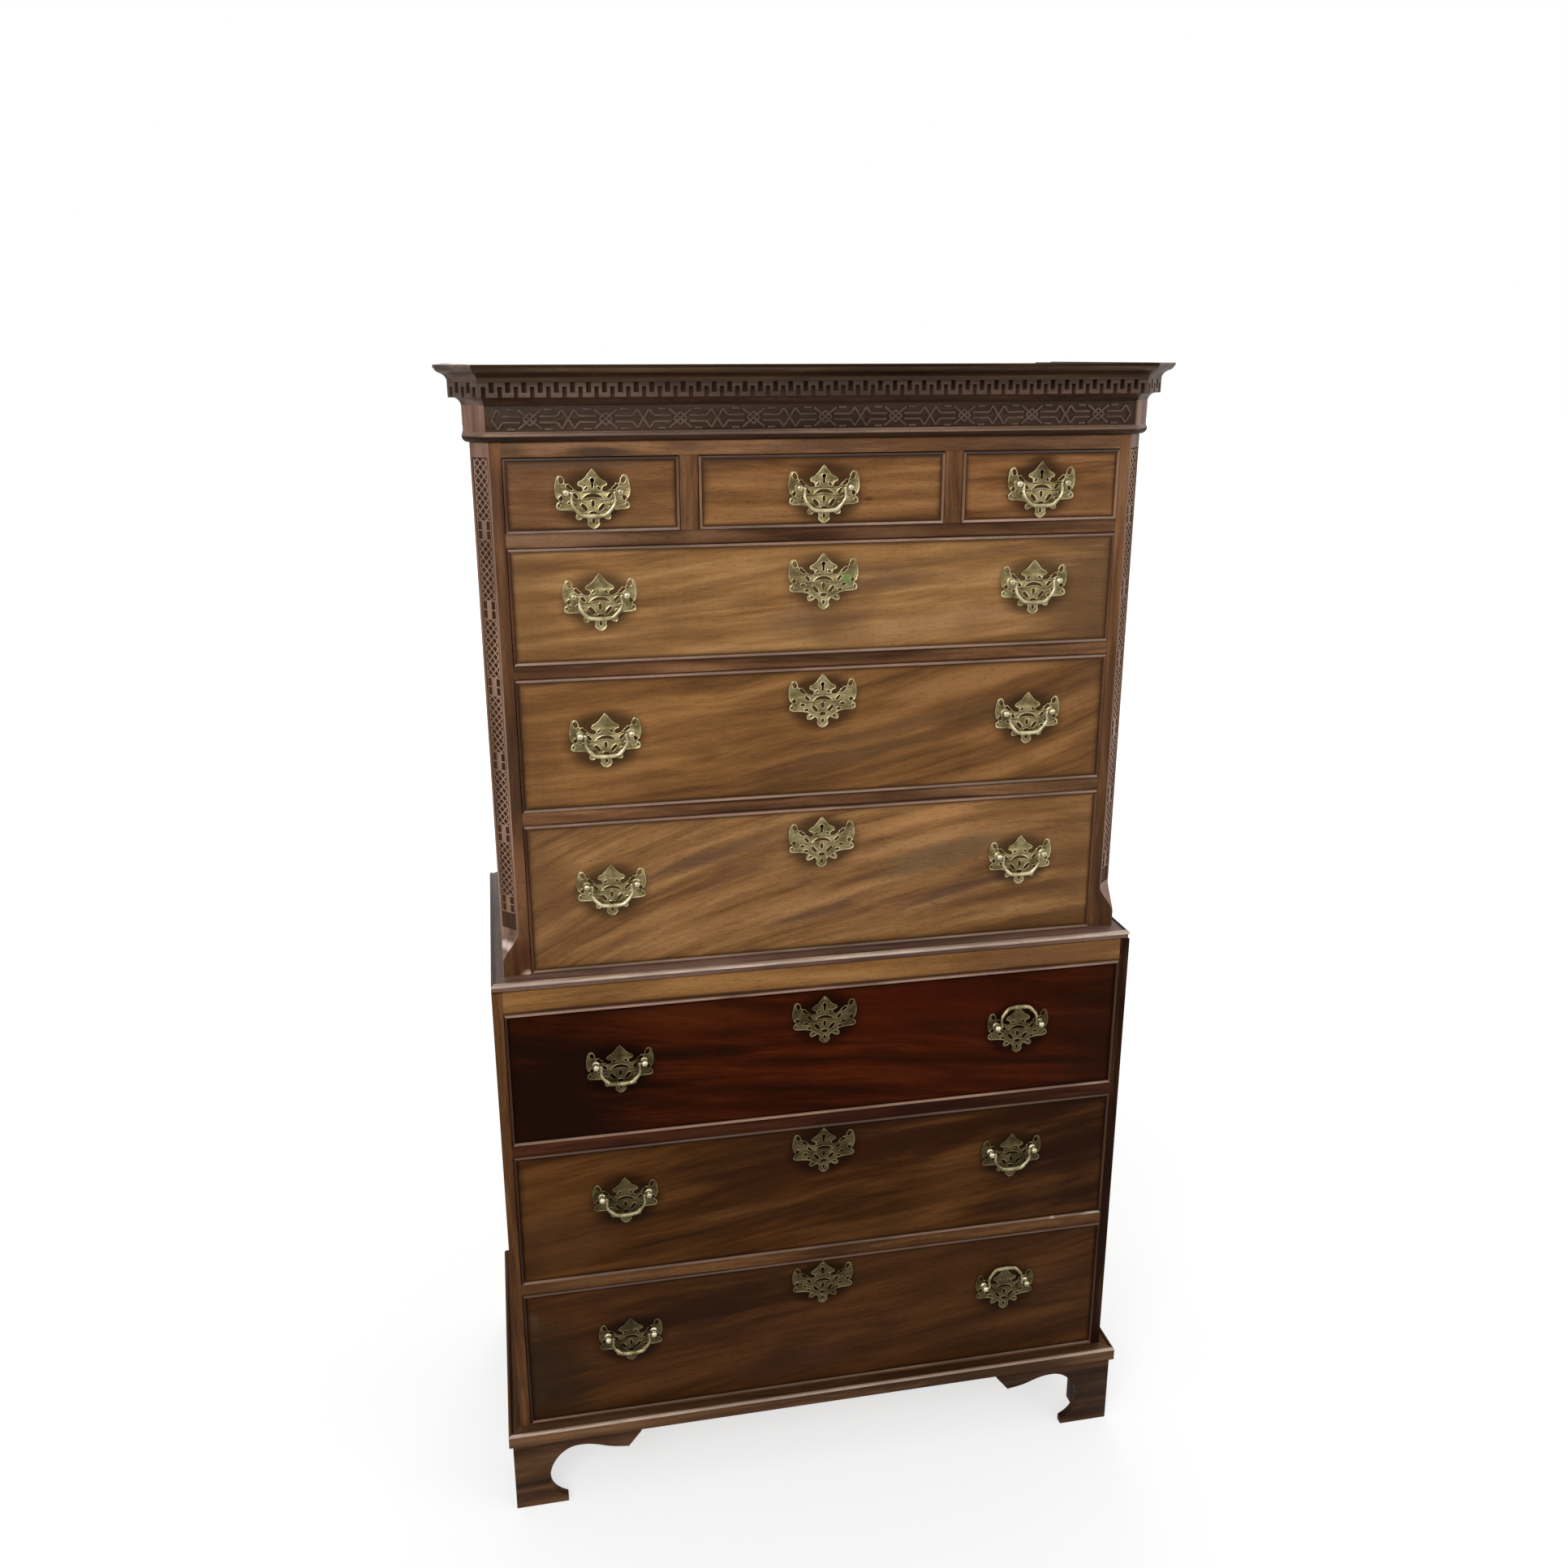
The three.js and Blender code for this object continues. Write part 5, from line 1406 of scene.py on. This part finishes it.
def add_bar(bm, start, end, wide, thick):
    """A bar between two points (x, z), its back at y = 0 and its front towards the viewer."""
    run = Vector(end) - Vector(start)
    thick += fret_lift if run.x * run.y > 0 else 0
    bar = bmesh.new()
    add_span(bar, run.length / 2, -thick, 0, -wide / 2, wide / 2, edge=0.3)
    middle = (Vector(end) + Vector(start)) / 2
    turn = turned_about("Y", -math.atan2(run.y, run.x))
    add_turned(bm, bar, moved(middle.x, 0, middle.y) @ turn)
    bar.free()


def repeated(unit, steps):
    """Copies of a unit, one for each step that it is moved by."""
    whole = bmesh.new()
    for step in steps:
        add_turned(whole, unit, moved(*step))
    unit.free()
    return whole


# %% Frieze fret
def frieze_unit(half, high):
    """Crossing diagonals in the middle, a pair of short bars on each side, slants at the ends."""
    unit = bmesh.new()
    wide, thick, middle = 3.1, 1.8, high / 2
    bars = (((0, 0), (16, 13)), ((0, 8.5), (9, 0)), ((13, 4), (37, 4)), ((37, 4), (half - 8, 13)),
            ((half - 8, 13), (half, 0)), ((20, 13), (31, 13)))
    for sign in (-1, 1):
        for up in (-1, 1):
            for (x, rise), (x_end, rise_end) in bars:
                add_bar(unit, (sign * x, middle + up * rise),
                        (sign * x_end, middle + up * rise_end), wide, thick)
    return unit


fret_low, fret_high = box_of("frieze_fret")
fret_wood = wood("fret_wood", ((58, 42, 31), (75, 56, 43), (92, 71, 56)),
                 figure=0.2, seed=13.3, gleam=0.3, gloss=0.38)
fret_count = 9
pitch = (fret_high.x - fret_low.x) / fret_count
unit = frieze_unit(pitch / 2 - 0.4, fret_high.z - fret_low.z)
fret = repeated(unit, [(fret_low.x + (number + 0.5) * pitch, upper_front - 5, fret_low.z)
                       for number in range(fret_count)])
make_piece("frieze_fret_sheet", fret, [fret_wood], replaces=["frieze_fret"])

# %% Corner frets
def corner_unit(half, high):
    """A block with two slots on each side, and above it a lattice of small lozenges."""
    unit = bmesh.new()
    thick, wide, mesh_pitch, mesh_rows = 1.25, 2.0, 12, 7
    block = high - mesh_rows * mesh_pitch
    for sign in (-1, 1):
        add_bar(unit, (sign * (half - 0.8), 0), (sign * (half - 0.8), high), 1.6, thick - 0.1)
    add_bar(unit, (0, 0), (0, block), 9, thick)
    for z in (wide / 2, block / 2, block - wide / 2):
        add_bar(unit, (-half + 0.4, z), (half - 0.4, z), wide, thick + 0.1)
    edge = half - 0.6
    for number in range(-1, mesh_rows + 1):
        level = block + (number + 0.5) * mesh_pitch
        start, end = max(-edge, block - level), min(edge, high - level)
        for sign in (-1, 1):
            add_bar(unit, (sign * start, level + start), (sign * end, level + end), wide, thick)
    return unit


corner_fret_wood = wood("corner_fret_wood", ((102, 70, 51), (142, 107, 83), (172, 137, 113)),
                        grain=along_z, figure=0.4, seed=14.2, gleam=0.4, gloss=0.36,
                        patches=[(-487, 1700, 40, 70, (168, 138, 122), 0.6)])
corner_count, corner_half = 6, 13.1
for sign, name in hands:
    low, high = box_of("corner_fret_" + name)
    unit_high = (high.z - low.z) / corner_count
    sheet = repeated(corner_unit(corner_half, unit_high),
                     [(0, 0, number * unit_high) for number in range(corner_count)])
    inwards = (recess_depth - 0.1) / math.sqrt(2)
    carry(sheet, moved(sign * (upper_half - cant / 2 - inwards), upper_front + cant / 2 + inwards,
                       low.z) @ turned_about("Z", math.radians(sign * 45)))
    make_piece("corner_fret_sheet_" + name, sheet, [corner_fret_wood],
               replaces=["corner_fret_" + name])
print("frets glued")

# %% [markdown]
# ## Bracket feet
# A bracket foot is two shaped boards mitred at the corner, with a block glued behind. Its
# outline is the only ornament: a pad, a hollow and a lobe. The boards are sawn from a curve.

# %% Feet
foot_high, foot_long, foot_thick, foot_out = 130, 219, 14, 15
block_wide, block_lift = 54, 10
bracket = [*corners((0.4, 0.0), (0.4, 0.085)),
           *rounded((0.34, 0.15), (0.292, 0.25), (0.272, 0.39), (0.28, 0.54), (0.322, 0.69),
                    (0.385, 0.8), (0.45, 0.855), (0.53, 0.866), (0.6, 0.85), (0.76, 0.765)),
           *corners((0.885, 0.73), (0.985, 0.94), (1.0, 1.0))]
foot_colours = {"left": ((48, 30, 17), (80, 53, 33), (110, 78, 52)),
                "right": ((38, 24, 14), (57, 38, 23), (82, 56, 36))}
foot_x, foot_y = -lower_half - foot_out, lower_front - foot_out


def bracket_board(mitred):
    outline = [(x * foot_long, z * foot_high, kind) for x, z, kind in bracket]
    bm = board_from_curves([[(0, 0, "corner"), *outline, (0, foot_high, "corner")]],
                           foot_thick, 0.8)
    if mitred:
        cut_through = bmesh.ops.bisect_plane(
            bm, geom=[*bm.verts, *bm.edges, *bm.faces], plane_co=(0, -foot_thick, 0),
            plane_no=(-1, 1, 0), clear_outer=True)["geom_cut"]
        open_sides = [side for side in cut_through if isinstance(side, bmesh.types.BMEdge)]
        bmesh.ops.holes_fill(bm, edges=open_sides, sides=0)
    return bm


to_front = moved(foot_x, foot_y + foot_thick, 0)
to_side = moved(foot_x, foot_y, 0) @ turned_about("Z", math.pi / 2) \
    @ Matrix.Diagonal((1, -1, 1, 1)) @ moved(0, foot_thick, 0)
to_rear = moved(foot_x, back_y, 0) @ turned_about("Z", -math.pi / 2) @ moved(0, foot_thick, 0)
for sign, name in hands:
    woods = [wood("foot_wood_" + name, foot_colours[name], seed=15 + sign, figure=0.4, dirt=0.6),
             wood("foot_side_wood_" + name, foot_colours[name], seed=16 + sign, grain=along_y,
                  dirt=0.6)]
    mirror = Matrix.Diagonal((-sign, 1, 1, 1))
    board, plain_end = bracket_board(True), bracket_board(False)
    plain = board_from_curves([corners((0, 0), (20, 0), (106, foot_high), (0, foot_high))],
                              foot_thick, 0.8)
    foot, rear = bmesh.new(), bmesh.new()
    add_turned(foot, board, mirror @ to_front)
    for face in [*add_turned(foot, board, mirror @ to_side),
                 *add_turned(rear, plain_end, mirror @ to_rear)]:
        face.material_index = 1
    add_turned(rear, plain, mirror @ moved(foot_x + foot_thick, back_y, 0))
    for kind, bm, y_low, y_high in (("front_", foot, foot_y + foot_thick, foot_y + block_wide),
                                    ("rear_", rear, back_y - block_wide, back_y - foot_thick)):
        block = bmesh.new()
        add_board(block, (foot_x + foot_thick, y_low, block_lift),
                  (foot_x + block_wide, y_high, foot_high))
        add_turned(bm, block, mirror)
        block.free()
        make_piece("bracket_" + kind + name, bm, woods,
                   replaces=["foot_" + kind + name])
    for part in (board, plain_end, plain):
        part.free()
print("feet:", round(-2 * foot_x, 1), "across")

# %% [markdown]
# ## Floor and light
# The photograph was cut out onto white, so the floor and the world are white where the camera
# looks at them. The light itself is even: a soft sky and three large panels, set so that a
# colour renders about as it was written, with just enough direction for the mouldings to read.

# %% Floor
floor_grid = bmesh.new()
bmesh.ops.create_grid(floor_grid, x_segments=1, y_segments=1, size=40)
floor = linked("floor", mesh_of(floor_grid, "floor"))
floor_finish = Finish("floor_finish", {"Roughness": 0.9, "Specular IOR Level": 0.0,
                                       "Base Color": (0.9, 0.9, 0.9, 1)})
x, y, _ = floor_finish.axes(floor_finish.object_place())
away = (x * x + y * y).maths("SQRT")
unshaded = floor_finish.rise(away, 1.1, 3.2) * 0.55 + 0.45
glow = floor_finish.node("Emission", {}, {"Color": (1, 1, 1), "Strength": 1.4})
lit = Value(floor_finish, floor_finish.shader.outputs[0])
surface = floor_finish.node("MixShader", {}, {
    0: floor_finish.rays("Is Camera Ray") * unshaded, 1: lit, 2: glow})
floor_finish.feed(floor_finish.tree.nodes["Material Output"].inputs["Surface"], surface)
floor.data.materials.append(floor_finish.material)

# %% World and lamps
world = bpy.data.worlds.new("world")
bpy.context.scene.world = world
world.use_nodes = True
sky_level = 0.55
sky = Graph(world.node_tree)
mirrored = sky.rays("Is Glossy Ray").maths("MAXIMUM", sky.rays("Is Transmission Ray"))
white = sky.rays("Is Camera Ray").maths("MAXIMUM", mirrored)
sky.feed(sky.tree.nodes["Background"].inputs["Color"], (1, 1, 1))
sky.feed(sky.tree.nodes["Background"].inputs["Strength"], white * (1 - sky_level) + sky_level)


def add_panel(name, place, size, share):
    """A square lamp that adds a share of full light to what faces it in the middle."""
    aim = Vector((0, 0, 1.0))
    away = (Vector(place) - aim).length
    lamp = linked(name, bpy.data.lights.new(name, "AREA"))
    lamp.data.size = size
    lamp.data.energy = share * math.pi ** 2 * away ** 2
    lamp.location = place
    lamp.rotation_euler = (aim - Vector(place)).to_track_quat("-Z", "Y").to_euler()


add_panel("key", (-1.8, -3.4, 3.0), 1.8, 0.34)
add_panel("fill", (3.2, -2.6, 2.0), 2.4, 0.12)
add_panel("rear", (0.5, 3.8, 2.6), 2.4, 0.3)
bpy.context.scene.view_settings.view_transform = "Standard"
